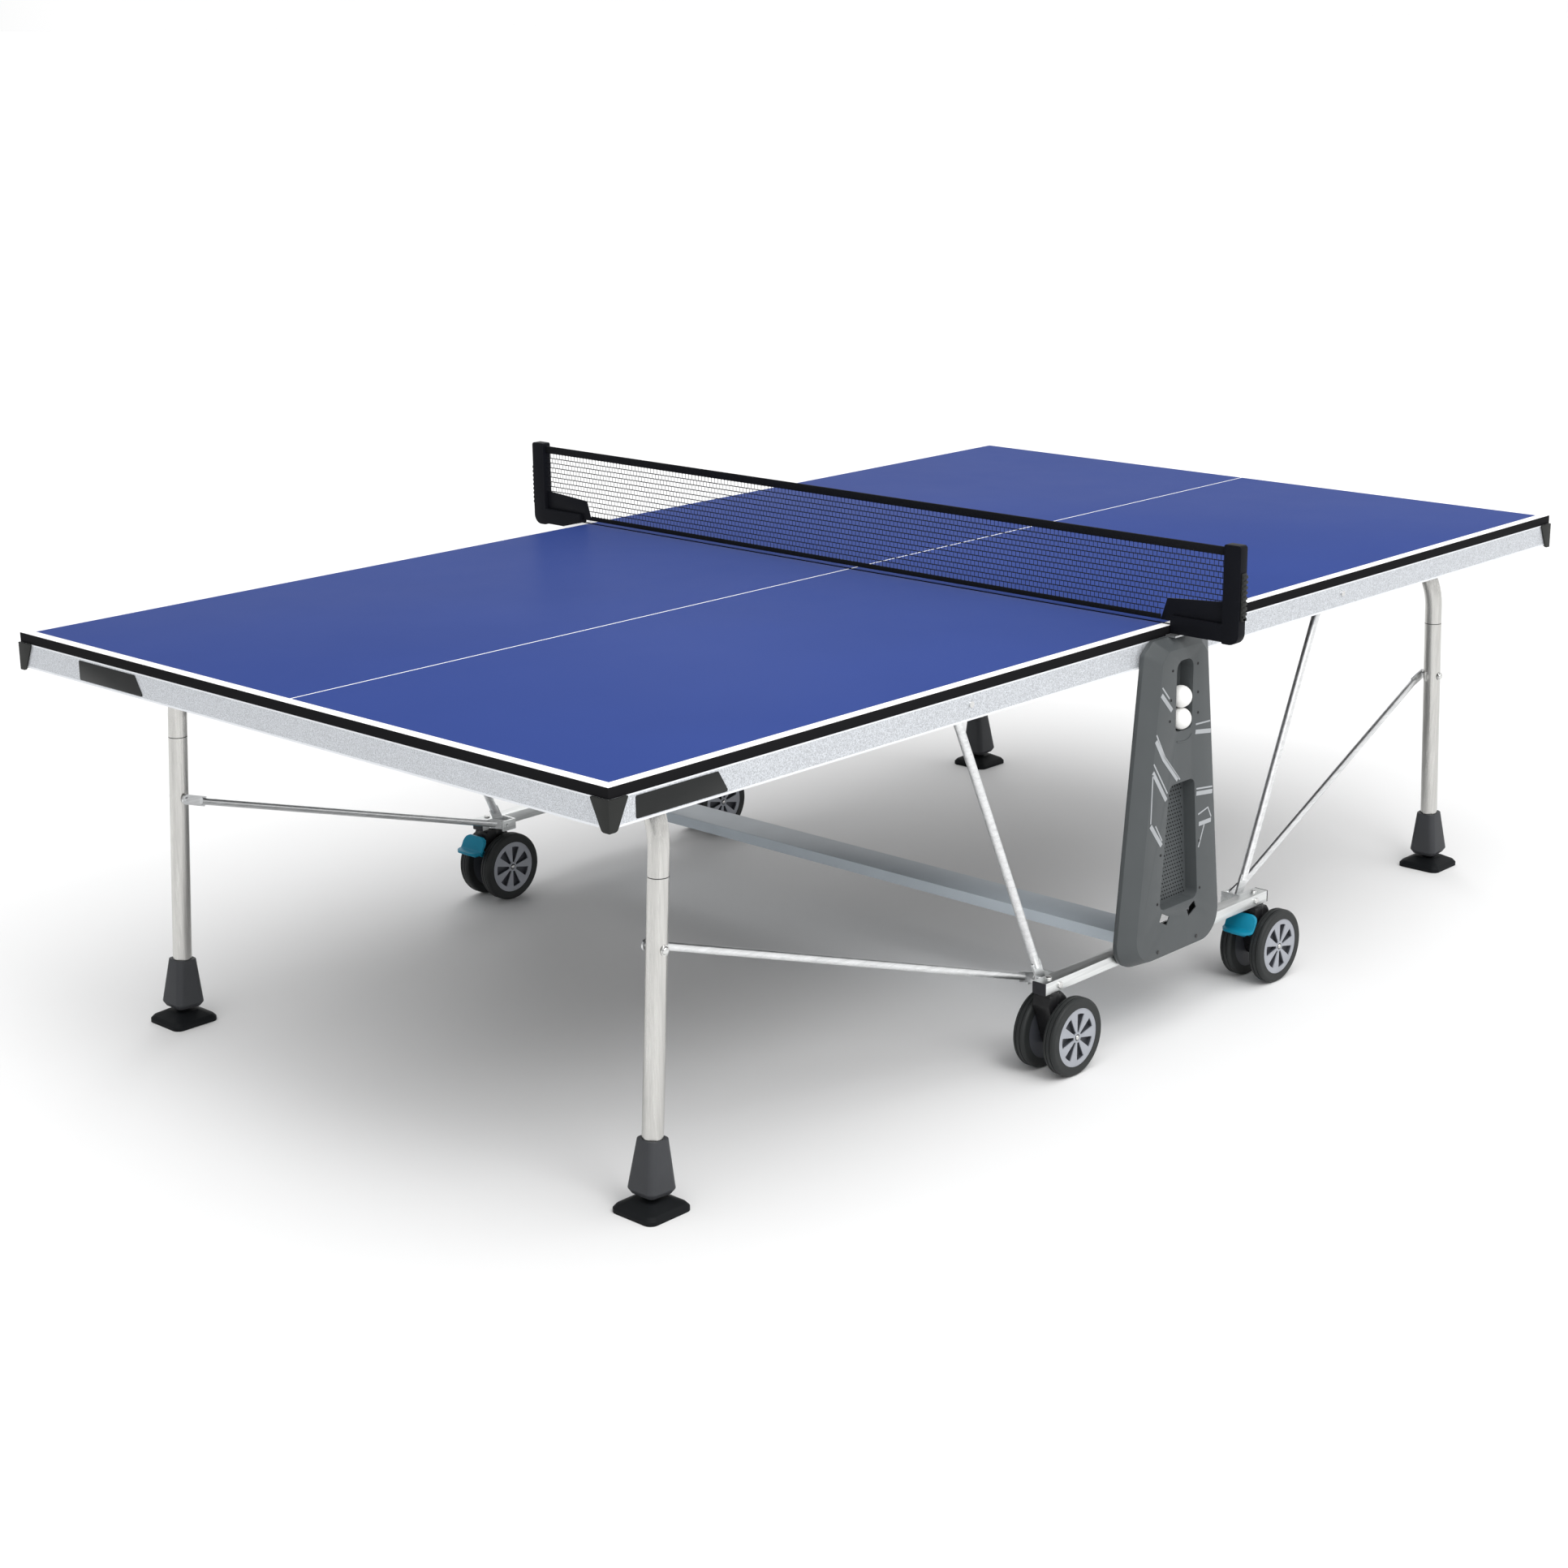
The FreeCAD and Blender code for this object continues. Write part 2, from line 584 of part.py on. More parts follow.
def runner():
    """Nylon block that slides in the upright's slot and carries the slide pin."""
    half = RUNNER_WIDTH / 2 - SLIDE_FIT
    y0 = UPRIGHT_Y - BODY_GAP
    y1 = UPRIGHT_OUTER + BODY_GAP
    block = box(PIN_X - half, PIN_X + half, y0, y1, PIN_Z - RUNNER_LENGTH / 2, PIN_Z + RUNNER_WIDTH / 2)
    wide = RUNNER_WIDTH / 2 + RUNNER_FLANGE
    flange = box(PIN_X - wide, PIN_X + wide, y1, RUNNER_FACE,
                 PIN_Z - RUNNER_LENGTH / 2, PIN_Z + RUNNER_WIDTH / 2)
    body = fuse([block, flange])
    body.rotate(Vector(PIN_X, 0, PIN_Z), Vector(0, 1, 0), -slot_angle())
    return body.cut(cross_rod(PIN_X, PIN_Z, y0 - 1, RUNNER_FACE + 1, PIN_RADIUS + RUNNING_FIT))


# Leg frame and feet

def leg_path(reach_y, drop):
    """Centreline of the inverted U from one leg's end to the other."""
    x = LEG_PIVOT_X
    z = LEG_PIVOT_Z
    mid = LEG_BEND * (1 - math.sqrt(0.5))
    far_low = Vector(x, reach_y, z - drop)
    far_bend = Vector(x, reach_y, z - LEG_BEND)
    far_bar = Vector(x, reach_y - LEG_BEND, z)
    near_bend = Vector(x, -reach_y, far_bend.z)
    near_bar = Vector(x, -far_bar.y, z)
    edges = [
        Part.LineSegment(far_low, far_bend),
        Part.Arc(far_bend, Vector(x, reach_y - mid, z - mid), far_bar),
        Part.LineSegment(far_bar, near_bar),
        Part.Arc(near_bar, Vector(x, mid - reach_y, z - mid), near_bend),
        Part.LineSegment(near_bend, Vector(x, -reach_y, far_low.z)),
    ]
    return Part.Wire([edge.toShape() for edge in edges])


def leg_frame():
    """Bent tube that forms the top bar and the upper part of both legs."""
    path = leg_path(LEG_Y, LEG_JOINT_DROP)
    start = Vector(LEG_PIVOT_X, LEG_Y, LEG_PIVOT_Z - LEG_JOINT_DROP)
    solids = []
    for radius in (LEG_TUBE_RADIUS, LEG_TUBE_RADIUS - LEG_TUBE_WALL):
        ring = Part.Wire([Part.makeCircle(radius, start, Vector(0, 0, 1))])
        solids.append(path.makePipeShell([ring], True, False))
    return leaning(solids[0].cut(solids[1]))


def lower_leg():
    """Lower tube with a spigot that plugs into the upper one."""
    x = LEG_PIVOT_X
    top = LEG_PIVOT_Z - LEG_JOINT_DROP
    bottom = LEG_PIVOT_Z - drop_to(SLEEVE_BOTTOM + SLEEVE_FLOOR)
    spigot_radius = LEG_TUBE_RADIUS - LEG_TUBE_WALL - RUNNING_FIT
    outer = rod(Vector(x, LEG_Y, bottom), Vector(x, LEG_Y, top), LEG_TUBE_RADIUS)
    spigot = rod(Vector(x, LEG_Y, top), Vector(x, LEG_Y, top + LEG_SPIGOT), spigot_radius)
    inner = rod(Vector(x, LEG_Y, bottom), Vector(x, LEG_Y, top + LEG_SPIGOT), spigot_radius - LEG_TUBE_WALL)
    return leaning(fuse([outer, spigot]).cut(inner))


def square_ring(half, corner, z):
    """Rounded square outline about the leg, level with the floor."""
    x = LEG_PIVOT_X
    flat = rounded_wire([(x - half, LEG_Y - half), (x + half, LEG_Y - half), (x + half, LEG_Y + half),
                         (x - half, LEG_Y + half)], [corner] * 4, 0)
    flat.rotate(Vector(0, 0, 0), Vector(1, 0, 0), 90)
    flat = flat.mirror(Vector(0, 0, 0), Vector(0, 1, 0))
    flat.translate(Vector(0, 0, z))
    return flat


def foot_sleeve():
    """Tapered square moulding over the leg's end, with a floor threaded for the pad's stem."""
    top = LEG_PIVOT_Z - drop_to(SLEEVE_TOP)
    bottom = LEG_PIVOT_Z - drop_to(SLEEVE_BOTTOM)
    rim = bottom + SLEEVE_TOE
    wide = square_ring(SLEEVE_BOTTOM_HALF, SLEEVE_CORNER, rim)
    foot = square_ring(SLEEVE_BOTTOM_HALF - SLEEVE_TOE_INSET, SLEEVE_CORNER - SLEEVE_TOE_INSET / 2, bottom)
    high = square_ring(SLEEVE_TOP_HALF, SLEEVE_CORNER, top)
    body = fuse([Part.makeLoft([wide, high], True, True), Part.makeLoft([foot, wide], True, True)])
    seat = bottom + SLEEVE_FLOOR
    x = LEG_PIVOT_X
    bore = rod(Vector(x, LEG_Y, seat), Vector(x, LEG_Y, top + 1), LEG_TUBE_RADIUS + RUNNING_FIT)
    thread = rod(Vector(x, LEG_Y, bottom - 1), Vector(x, LEG_Y, seat + 1), PAD_STEM_RADIUS + RUNNING_FIT)
    return leaning(body.cut(bore).cut(thread))


def foot_pad():
    """Square domed pad, level on the floor, with a stem up into the leg."""
    foot_x = along_leg(drop_to(PAD_HEIGHT / 2))[0]
    shift = Vector(foot_x - LEG_PIVOT_X, 0, 0)
    base = square_ring(PAD_WIDTH / 2, PAD_CORNER, 0)
    rim = square_ring(PAD_WIDTH / 2, PAD_CORNER, PAD_RIM)
    shoulder = square_ring(PAD_WIDTH / 2 - PAD_SHOULDER_INSET, PAD_CORNER - PAD_SHOULDER_INSET / 2,
                           PAD_RIM + PAD_SHOULDER_RISE)
    crown = square_ring(PAD_CROWN_WIDTH / 2, PAD_CORNER / 2, PAD_HEIGHT)
    pairs = ([base, rim], [rim, shoulder], [shoulder, crown])
    pieces = [Part.makeLoft(pair, True, True) for pair in pairs]
    for piece in pieces:
        piece.translate(shift)
    low = along_leg(drop_to(PAD_RIM))
    high = along_leg(drop_to(PAD_RIM + PAD_STEM_LENGTH))
    stem = rod(Vector(low[0], LEG_Y, low[1]), Vector(high[0], LEG_Y, high[1]), PAD_STEM_RADIUS)
    neck_top = along_leg(drop_to(SLEEVE_BOTTOM - 2))
    neck = rod(Vector(low[0], LEG_Y, low[1]), Vector(neck_top[0], LEG_Y, neck_top[1]), PAD_STEM_RADIUS * 2)
    return fuse(pieces + [neck, stem])


# Rolling base

def foot_bracket():
    """Bent bracket on the rail's inner side, with the pin that the foot of a stay turns on."""
    back = FOOT_PIVOT_X - BRACKET_REACH
    nose = FOOT_PIVOT_X + BRACKET_NOSE
    inner = STAY_FOOT_Y - FLAT_THICKNESS / 2 - BODY_GAP
    top = FOOT_PIVOT_Z + BRACKET_RISE
    web = box(back, back + FLAT_THICKNESS, inner - FLAT_THICKNESS, RAIL_INNER, RAIL_BOTTOM, top)
    ear = box(back, nose, inner - FLAT_THICKNESS, inner, RAIL_BOTTOM, top)
    pin = cross_rod(FOOT_PIVOT_X, FOOT_PIVOT_Z, inner - FLAT_THICKNESS - STUB_LENGTH,
                    STAY_FOOT_Y + FLAT_THICKNESS / 2 + 2, PIVOT_BOLT_RADIUS)
    return fuse([web, ear, pin])


def base_rail():
    """Box tube along the side of the base, with a foot bracket near each end."""
    tube = box(-RAIL_END, RAIL_END, RAIL_INNER, RAIL_OUTER, RAIL_BOTTOM, RAIL_TOP)
    hollow = box(-RAIL_END, RAIL_END, RAIL_INNER + RAIL_WALL, RAIL_OUTER - RAIL_WALL,
                 RAIL_BOTTOM + RAIL_WALL, RAIL_TOP - RAIL_WALL)
    tube = tube.cut(hollow)
    for sign in (-1, 1):
        hole = rod(Vector(sign * CASTER_X, RAIL_CENTRE, RAIL_BOTTOM - 1),
                   Vector(sign * CASTER_X, RAIL_CENTRE, RAIL_BOTTOM + RAIL_WALL + 1), STEM_RADIUS + 1)
        tube = tube.cut(hole)
    bracket = foot_bracket()
    return fuse([tube, bracket, flip_x(bracket)])


def rail_plug():
    """Moulded block that closes the rail's end and takes the caster's stem."""
    fit = RAIL_WALL + SLIDE_FIT / 3
    block = box(RAIL_END - PLUG_LENGTH, RAIL_END, RAIL_INNER + fit, RAIL_OUTER - fit,
                RAIL_BOTTOM + fit, RAIL_TOP - fit)
    head = box(RAIL_END, RAIL_END + PLUG_HEAD, RAIL_INNER, RAIL_OUTER, RAIL_BOTTOM, RAIL_TOP)
    bore = rod(Vector(CASTER_X, RAIL_CENTRE, RAIL_BOTTOM), Vector(CASTER_X, RAIL_CENTRE, RAIL_TOP - 3),
               STEM_RADIUS + RUNNING_FIT)
    return fuse([block, head]).cut(bore)


def cross_beam():
    """Folded channel, open below, that joins the two rails."""
    half = BEAM_WIDTH / 2
    outer = box(-half, half, -RAIL_INNER, RAIL_INNER, RAIL_BOTTOM, RAIL_TOP)
    inner = box(BEAM_WALL - half, half - BEAM_WALL, -RAIL_INNER, RAIL_INNER, RAIL_BOTTOM,
                RAIL_TOP - BEAM_WALL)
    return outer.cut(inner)


def base_fasteners():
    """Bolt heads on the rails and the beam, and the screws of the cover panels."""
    solids = []
    for sign in (-1, 1):
        rail_face = Vector(sign * CASTER_X, RAIL_CENTRE, RAIL_TOP)
        solids.append(rod(rail_face, rail_face.add(Vector(0, 0, BOLT_HEAD_HEIGHT)), BOLT_HEAD_RADIUS))
        solids.append(cross_rod(sign * FOOT_PIVOT_X, RAIL_MIDDLE, RAIL_OUTER,
                                RAIL_OUTER + BOLT_HEAD_HEIGHT, BOLT_HEAD_RADIUS))
        solids.append(cross_rod(sign * COVER_SCREW_X, COVER_SCREW_Z, PANEL_FRONT, PANEL_FRONT + 1.5,
                                COVER_SCREW_RADIUS))
        beam_face = Vector(sign * BEAM_WIDTH / 2, RAIL_INNER - BEAM_BOLT_FROM_RAIL, RAIL_MIDDLE)
        solids.append(rod(beam_face, beam_face.add(Vector(sign * BOLT_HEAD_HEIGHT, 0, 0)),
                          BOLT_HEAD_RADIUS - 1))
    return solids


# Upright and cover panel

def upright_half_width(z):
    """Half width of the upright plate at a height, a little inside the cover's rear edge."""
    rise = (z - PANEL_BOTTOM) / (PANEL_TOP - PANEL_SHOULDER_DROP - PANEL_BOTTOM)
    edge = PANEL_REAR_FOOT + rise * (PANEL_REAR_SHOULDER - PANEL_REAR_FOOT)
    return edge - UPRIGHT_INSIDE_COVER


def upright():
    """Slotted steel plate bolted to the rail, with a flange on top for the net post's arm."""
    low = RAIL_TOP + UPRIGHT_ABOVE_RAIL
    high = PANEL_TOP - PANEL_SHOULDER_DROP
    top = PANEL_TOP - PANEL_WALL - 1
    flange_low = ARM_BOTTOM - UPRIGHT_FLANGE
    corners = mirrored_outline([(upright_half_width(low), low), (upright_half_width(high), high),
                                (PANEL_REAR_TOP - UPRIGHT_INSIDE_COVER, top)])
    radii = [UPRIGHT_FOOT_RADIUS, 4.0, 4.0, 4.0, 4.0, UPRIGHT_FOOT_RADIUS]
    plate = slab(rounded_wire(corners, radii, UPRIGHT_Y), UPRIGHT_WALL)
    window_low = RAIL_TOP + WINDOW_ABOVE_RAIL
    window_high = PIN_Z - WINDOW_BELOW_PIN
    window = mirrored_outline([(WINDOW_LOW_HALF, window_low), (WINDOW_HIGH_HALF, window_high)])
    plate = plate.cut(slab(rounded_wire(window, [8.0] * 4, UPRIGHT_Y - 1), UPRIGHT_WALL + 2))
    slot = slide_slot()
    plate = plate.cut(slot).cut(flip_x(slot))
    foot = box(-UPRIGHT_FOOT_HALF, UPRIGHT_FOOT_HALF, RAIL_OUTER, UPRIGHT_OUTER, RAIL_BOTTOM,
               low + UPRIGHT_ABOVE_RAIL)
    half = NECK_HALF_WIDTH
    neck = box(-half, half, UPRIGHT_Y, UPRIGHT_OUTER, top - 2, ARM_BOTTOM)
    flange = box(-half, half, UPRIGHT_Y, PANEL_FRONT - FLANGE_SETBACK, flange_low, ARM_BOTTOM)
    return fuse([plate, foot, neck, flange])


def slide_slot():
    """Cutter for the slanted slot that guides the runner."""
    start = Vector(PIN_X, UPRIGHT_Y - 1, PIN_Z)
    end = Vector(SLOT_END_X, UPRIGHT_Y - 1, SLOT_END_Z)
    angle = math.radians(slot_angle())
    down = Vector(math.sin(angle), 0, -math.cos(angle))
    side = Vector(math.cos(angle), 0, math.sin(angle)).multiply(RUNNER_WIDTH / 2)
    top = start.sub(Vector(down).multiply(RUNNER_WIDTH / 2 + SLIDE_FIT))
    bottom = end.add(Vector(down).multiply(RUNNER_LENGTH / 2 + SLIDE_FIT))
    corners = [top.add(side), top.sub(side), bottom.sub(side), bottom.add(side)]
    return Part.Face(Part.makePolygon(corners + corners[:1])).extrude(Vector(0, UPRIGHT_WALL + 2, 0))


def panel_outlines():
    """Rear and front outlines of the cover, each from its bottom right corner anticlockwise."""
    rear = mirrored_outline([(PANEL_REAR_FOOT, PANEL_BOTTOM),
                             (PANEL_REAR_SHOULDER, PANEL_TOP - PANEL_SHOULDER_DROP),
                             (PANEL_REAR_TOP, PANEL_TOP)])
    front = mirrored_outline([(PANEL_FRONT_FOOT, PANEL_FRONT_BOTTOM),
                              (PANEL_FRONT_SHOULDER, PANEL_TOP - PANEL_FRONT_SHOULDER_DROP),
                              (PANEL_FRONT_TOP, PANEL_TOP - PANEL_FRONT_DROP)])
    return rear, front


def panel_radii(depth_in):
    """Corner radii of the cover's outline, the same on both sides."""
    right_side = [PANEL_FOOT_RADIUS - depth_in, PANEL_SHOULDER_RADIUS, PANEL_TOP_RADIUS]
    return right_side + right_side[::-1]


def panel_body(depth_in):
    """The cover's outer form, or with a depth its hollow."""
    rear, front = panel_outlines()
    radii = panel_radii(depth_in)
    rear = inset(rear, depth_in)
    front = inset(front, depth_in)
    start = PANEL_REAR
    bevel = PANEL_REAR + PANEL_SIDE_DEPTH
    face = PANEL_FRONT - depth_in
    skirt = slab(rounded_wire(rear, radii, start), bevel - start)
    crown = Part.makeLoft([rounded_wire(rear, radii, bevel), rounded_wire(front, radii, face)], True, True)
    return fuse([skirt, crown])


def pocket(grow, y0, y1):
    """The bat pocket's form between two depths, grown by a wall."""
    corners = mirrored_outline([(POCKET_BOTTOM_HALF + grow, POCKET_BOTTOM - grow),
                                (POCKET_TOP_HALF + grow, POCKET_TOP + grow)])
    radii = [POCKET_CORNER + grow] * 4
    return slab(rounded_wire(corners, radii, y0), y1 - y0)


def ball_slot(grow, y0, y1):
    """The ball slot's form between two depths, grown by a wall."""
    corners = mirrored_outline([(BALL_SLOT_HALF + grow, BALL_SLOT_BOTTOM - grow),
                                (BALL_SLOT_HALF + grow, BALL_SLOT_TOP + grow)])
    radii = [BALL_SLOT_FOOT_CORNER + grow, BALL_SLOT_CORNER + grow]
    radii = radii + radii[::-1]
    return slab(rounded_wire(corners, radii, y0), y1 - y0)


def vent():
    """Cutter for one tilted slot under the pocket."""
    cutter = box(VENT_X - VENT_LENGTH / 2, VENT_X + VENT_LENGTH / 2, PANEL_FRONT - PANEL_WALL - 1,
                 PANEL_FRONT + 1, VENT_Z - VENT_HEIGHT / 2, VENT_Z + VENT_HEIGHT / 2)
    cutter.rotate(Vector(VENT_X, 0, VENT_Z), Vector(0, 1, 0), -VENT_TILT)
    return cutter


def side_panel():
    """Moulded cover with a ball slot, a bat pocket, two vents and bosses for its screws."""
    skin_back = PANEL_FRONT - PANEL_WALL
    shell = panel_body(0.0).cut(panel_body(PANEL_WALL))
    mouth = rounded_wire(inset(panel_outlines()[0], PANEL_WALL), panel_radii(PANEL_WALL), PANEL_REAR - 1)
    shell = shell.cut(slab(mouth, 1 + PANEL_WALL))
    neck = NECK_HALF_WIDTH + BODY_GAP
    shell = shell.cut(box(-neck, neck, PANEL_REAR - 1, UPRIGHT_OUTER + BODY_GAP,
                          PANEL_TOP - 2 * PANEL_WALL, PANEL_TOP + 1))
    pocket_back = PANEL_REAR + 1.5
    channel_back = PANEL_REAR
    boss = cross_rod(COVER_SCREW_X, COVER_SCREW_Z + 9, UPRIGHT_OUTER, skin_back, COVER_SCREW_RADIUS + 3)
    shell = fuse([shell, pocket(POCKET_WALL, pocket_back, skin_back),
                  ball_slot(POCKET_WALL, channel_back, skin_back), boss, flip_x(boss)])
    shell = shell.cut(pocket(0.0, pocket_back + POCKET_WALL, PANEL_FRONT + 1))
    shell = shell.cut(ball_slot(0.0, channel_back + BALL_CHANNEL_WALL, PANEL_FRONT + 1))
    opening = vent()
    return shell.cut(opening).cut(flip_x(opening))


def balls():
    """Two balls standing in the near side's slot."""
    first = BALL_SLOT_BOTTOM + BALL_RADIUS + BODY_GAP
    second = first + 2 * BALL_RADIUS + BODY_GAP
    return [Part.makeSphere(BALL_RADIUS, Vector(0, -BALL_Y, z)) for z in (first, second)]


# Net

def net_post():
    """Moulded post with an arm that sits on the upright."""
    inner = HALF_WIDTH + POST_INNER
    outer = HALF_WIDTH + POST_OUTER
    bottom = TABLE_HEIGHT - POST_BOTTOM_DROP
    top = TABLE_HEIGHT + NET_HEIGHT + POST_TOP_PROUD
    arm_top = TABLE_HEIGHT + ARM_TOP_RISE
    points = [(inner, bottom), (outer, bottom), (outer, top), (inner, top)]
    radii = [3.0, POST_CORNER, 6.0, 4.0]
    half = POST_HALF_WIDTH
    column = slab(rounded_wire(points, radii, 0), 2 * half)
    column.translate(Vector(0, -half, 0))
    column.rotate(Vector(0, 0, 0), Vector(0, 0, 1), 90)
    arm = box(-half, half, ARM_START, inner + ARM_INTO_POST, ARM_BOTTOM, arm_top)
    return fuse([column, arm])


def net_adjuster():
    """Ribbed slider on the outer face of the post that sets the net's tension."""
    y0 = HALF_WIDTH + POST_OUTER + BODY_GAP
    half = ADJUSTER_HALF_WIDTH
    top = ADJUSTER_BOTTOM + ADJUSTER_LENGTH
    back = box(-half, half, y0, y0 + ADJUSTER_THICKNESS / 2, ADJUSTER_BOTTOM, top)
    ribs = []
    step = ADJUSTER_LENGTH / ADJUSTER_RIBS
    for i in range(ADJUSTER_RIBS):
        z = ADJUSTER_BOTTOM + step * i
        ribs.append(box(-half, half, y0, y0 + ADJUSTER_THICKNESS, z, z + step * 0.55))
    return fuse([back] + ribs)


def wing_points():
    """Outline of the corner plate in YZ, from its lower inner corner."""
    inner = HALF_WIDTH - WING_INNER
    outer = HALF_WIDTH + POST_INNER
    low = TABLE_HEIGHT + WING_FOOT
    arm_top = TABLE_HEIGHT + ARM_TOP_RISE
    return [(inner, low), (ARM_START, low), (ARM_START, arm_top), (outer, arm_top),
            (outer, TABLE_HEIGHT + WING_RISE), (inner + WING_SLANT, TABLE_HEIGHT + WING_INNER_RISE)]


def across(points, thickness):
    """A YZ outline made into a plate centred on X = 0."""
    corners = [Vector(-thickness / 2, y, z) for y, z in points]
    return Part.Face(Part.makePolygon(corners + corners[:1])).extrude(Vector(thickness, 0, 0))


def net_mesh():
    """Plain sheet that stands in for the mesh, cut round the corner plates."""
    low = TABLE_HEIGHT + WING_FOOT + BAND_HEIGHT
    high = TABLE_HEIGHT + NET_HEIGHT - TAPE_HEIGHT
    wing_top = TABLE_HEIGHT + WING_RISE + BODY_GAP
    wing_inner_top = TABLE_HEIGHT + WING_INNER_RISE + BODY_GAP
    inner = HALF_WIDTH - WING_INNER - BODY_GAP
    slope_top = inner + WING_SLANT
    outer = HALF_WIDTH + POST_INNER
    right = [(inner, low), (slope_top, wing_inner_top), (outer, wing_top), (outer, high)]
    left = [(-y, z) for y, z in reversed(right)]
    return across(right + left, NET_THICKNESS)


def net_bindings():
    """Tape along the top of the net and band along its foot."""
    reach = HALF_WIDTH + POST_INNER
    high = TABLE_HEIGHT + NET_HEIGHT
    half = TAPE_THICKNESS / 2
    tape = box(-half, half, -reach, reach, high - TAPE_HEIGHT, high)
    low = TABLE_HEIGHT + WING_FOOT
    foot_reach = HALF_WIDTH - WING_INNER - BODY_GAP
    band = box(-half / 2, half / 2, -foot_reach, foot_reach, low, low + BAND_HEIGHT)
    return [tape, band]


# Casters: the stem is on X = 0, Y = 0 and the axle trails towards +X

def caster_fork():
    """Housing between the wheels with a swivel head and stem, and the axle through it."""
    head_top = RAIL_BOTTOM - BODY_GAP
    head_low = head_top - FORK_HEAD_HEIGHT
    low = cross_rod(CASTER_TRAIL, WHEEL_RADIUS, -FORK_HALF_WIDTH, FORK_HALF_WIDTH, FORK_LOW_RADIUS)
    head = rod(Vector(0, 0, head_low), Vector(0, 0, head_top), FORK_HEAD_RADIUS)
    top_half = FORK_HEAD_RADIUS * 0.9
    points = [(CASTER_TRAIL - FORK_LOW_RADIUS, WHEEL_RADIUS), (CASTER_TRAIL + FORK_LOW_RADIUS, WHEEL_RADIUS),
              (top_half + 8, head_top - 12), (top_half, head_top - 3), (-top_half, head_top - 3),
              (-top_half - 4, head_top - 22)]
    neck = slab(rounded_wire(points, [1.0, 1.0, 5.0, 5.0, 5.0, 6.0], -FORK_HALF_WIDTH), 2 * FORK_HALF_WIDTH)
    stem = rod(Vector(0, 0, head_low), Vector(0, 0, RAIL_TOP - 4), STEM_RADIUS)
    bore = cross_rod(CASTER_TRAIL, WHEEL_RADIUS, -FORK_HALF_WIDTH - 1, FORK_HALF_WIDTH + 1,
                     AXLE_RADIUS + RUNNING_FIT)
    housing = fuse([low, head, neck, stem]).cut(bore)
    reach = WHEEL_SPREAD + WHEEL_WIDTH / 2 - 1
    axle = cross_rod(CASTER_TRAIL, WHEEL_RADIUS, -reach, reach, AXLE_RADIUS)
    return [housing, axle]


def wheel_hub():
    """Moulded wheel centre with a boss, a rim and recesses between its spokes on the outer face."""
    y0 = WHEEL_SPREAD - WHEEL_WIDTH / 2 + 1
    y1 = WHEEL_SPREAD + WHEEL_WIDTH / 2 - 1
    x = CASTER_TRAIL
    z = WHEEL_RADIUS
    disc = cross_rod(x, z, y0, y1, HUB_RADIUS)
    disc = disc.cut(cross_rod(x, z, y0 - 1, y1 + 1, AXLE_RADIUS + RUNNING_FIT))
    ring = cross_rod(x, z, y1 - HUB_RECESS, y1 + 1, HUB_RADIUS - HUB_RIM)
    ring = ring.cut(cross_rod(x, z, y1 - HUB_RECESS, y1 + 1, HUB_BOSS_RADIUS))
    step = 360.0 / HUB_SPOKES
    for i in range(HUB_SPOKES):
        middle = step * i
        spoke = Part.makeCylinder(HUB_RADIUS, HUB_RECESS + 3, Vector(0, 0, 0), Vector(0, 0, 1),
                                  2 * SPOKE_HALF_ANGLE)
        spoke.rotate(Vector(0, 0, 0), Vector(0, 0, 1), middle - SPOKE_HALF_ANGLE)
        spoke.rotate(Vector(0, 0, 0), Vector(1, 0, 0), -90)
        spoke.translate(Vector(x, y1 - HUB_RECESS - 1, z))
        ring = ring.cut(spoke)
    return disc.cut(ring)


def wheel_tyre():
    """Rounded tread moulded round the hub, with two shallow grooves."""
    half = WHEEL_WIDTH / 2
    shoulder = TYRE_SHOULDER
    corner = 1 - math.sqrt(0.5)
    outer = WHEEL_RADIUS
    y0 = WHEEL_SPREAD - half
    y1 = WHEEL_SPREAD + half
    points = [Vector(0, y0, HUB_RADIUS), Vector(0, y0, outer - shoulder), Vector(0, y0 + shoulder, outer),
              Vector(0, y1 - shoulder, outer), Vector(0, y1, outer - shoulder), Vector(0, y1, HUB_RADIUS)]
    low_mid = Vector(0, y0 + shoulder * corner, outer - shoulder * corner)
    high_mid = Vector(0, y1 - shoulder * corner, outer - shoulder * corner)
    edges = [Part.LineSegment(points[0], points[1]), Part.Arc(points[1], low_mid, points[2]),
             Part.LineSegment(points[2], points[3]), Part.Arc(points[3], high_mid, points[4]),
             Part.LineSegment(points[4], points[5]), Part.LineSegment(points[5], points[0])]
    profile = Part.Face(Part.Wire([edge.toShape() for edge in edges]))
    tyre = profile.revolve(Vector(0, 0, 0), Vector(0, 1, 0), 360)
    for offset in (-TYRE_GROOVE_OFFSET, TYRE_GROOVE_OFFSET):
        y = WHEEL_SPREAD + offset
        groove = rod(Vector(0, y - 0.7, 0), Vector(0, y + 0.7, 0), outer + 1)
        groove = groove.cut(rod(Vector(0, y - 0.7, 0), Vector(0, y + 0.7, 0), outer - TYRE_GROOVE_DEPTH))
        tyre = tyre.cut(groove)
    tyre.translate(Vector(CASTER_TRAIL, 0, WHEEL_RADIUS))
    return tyre


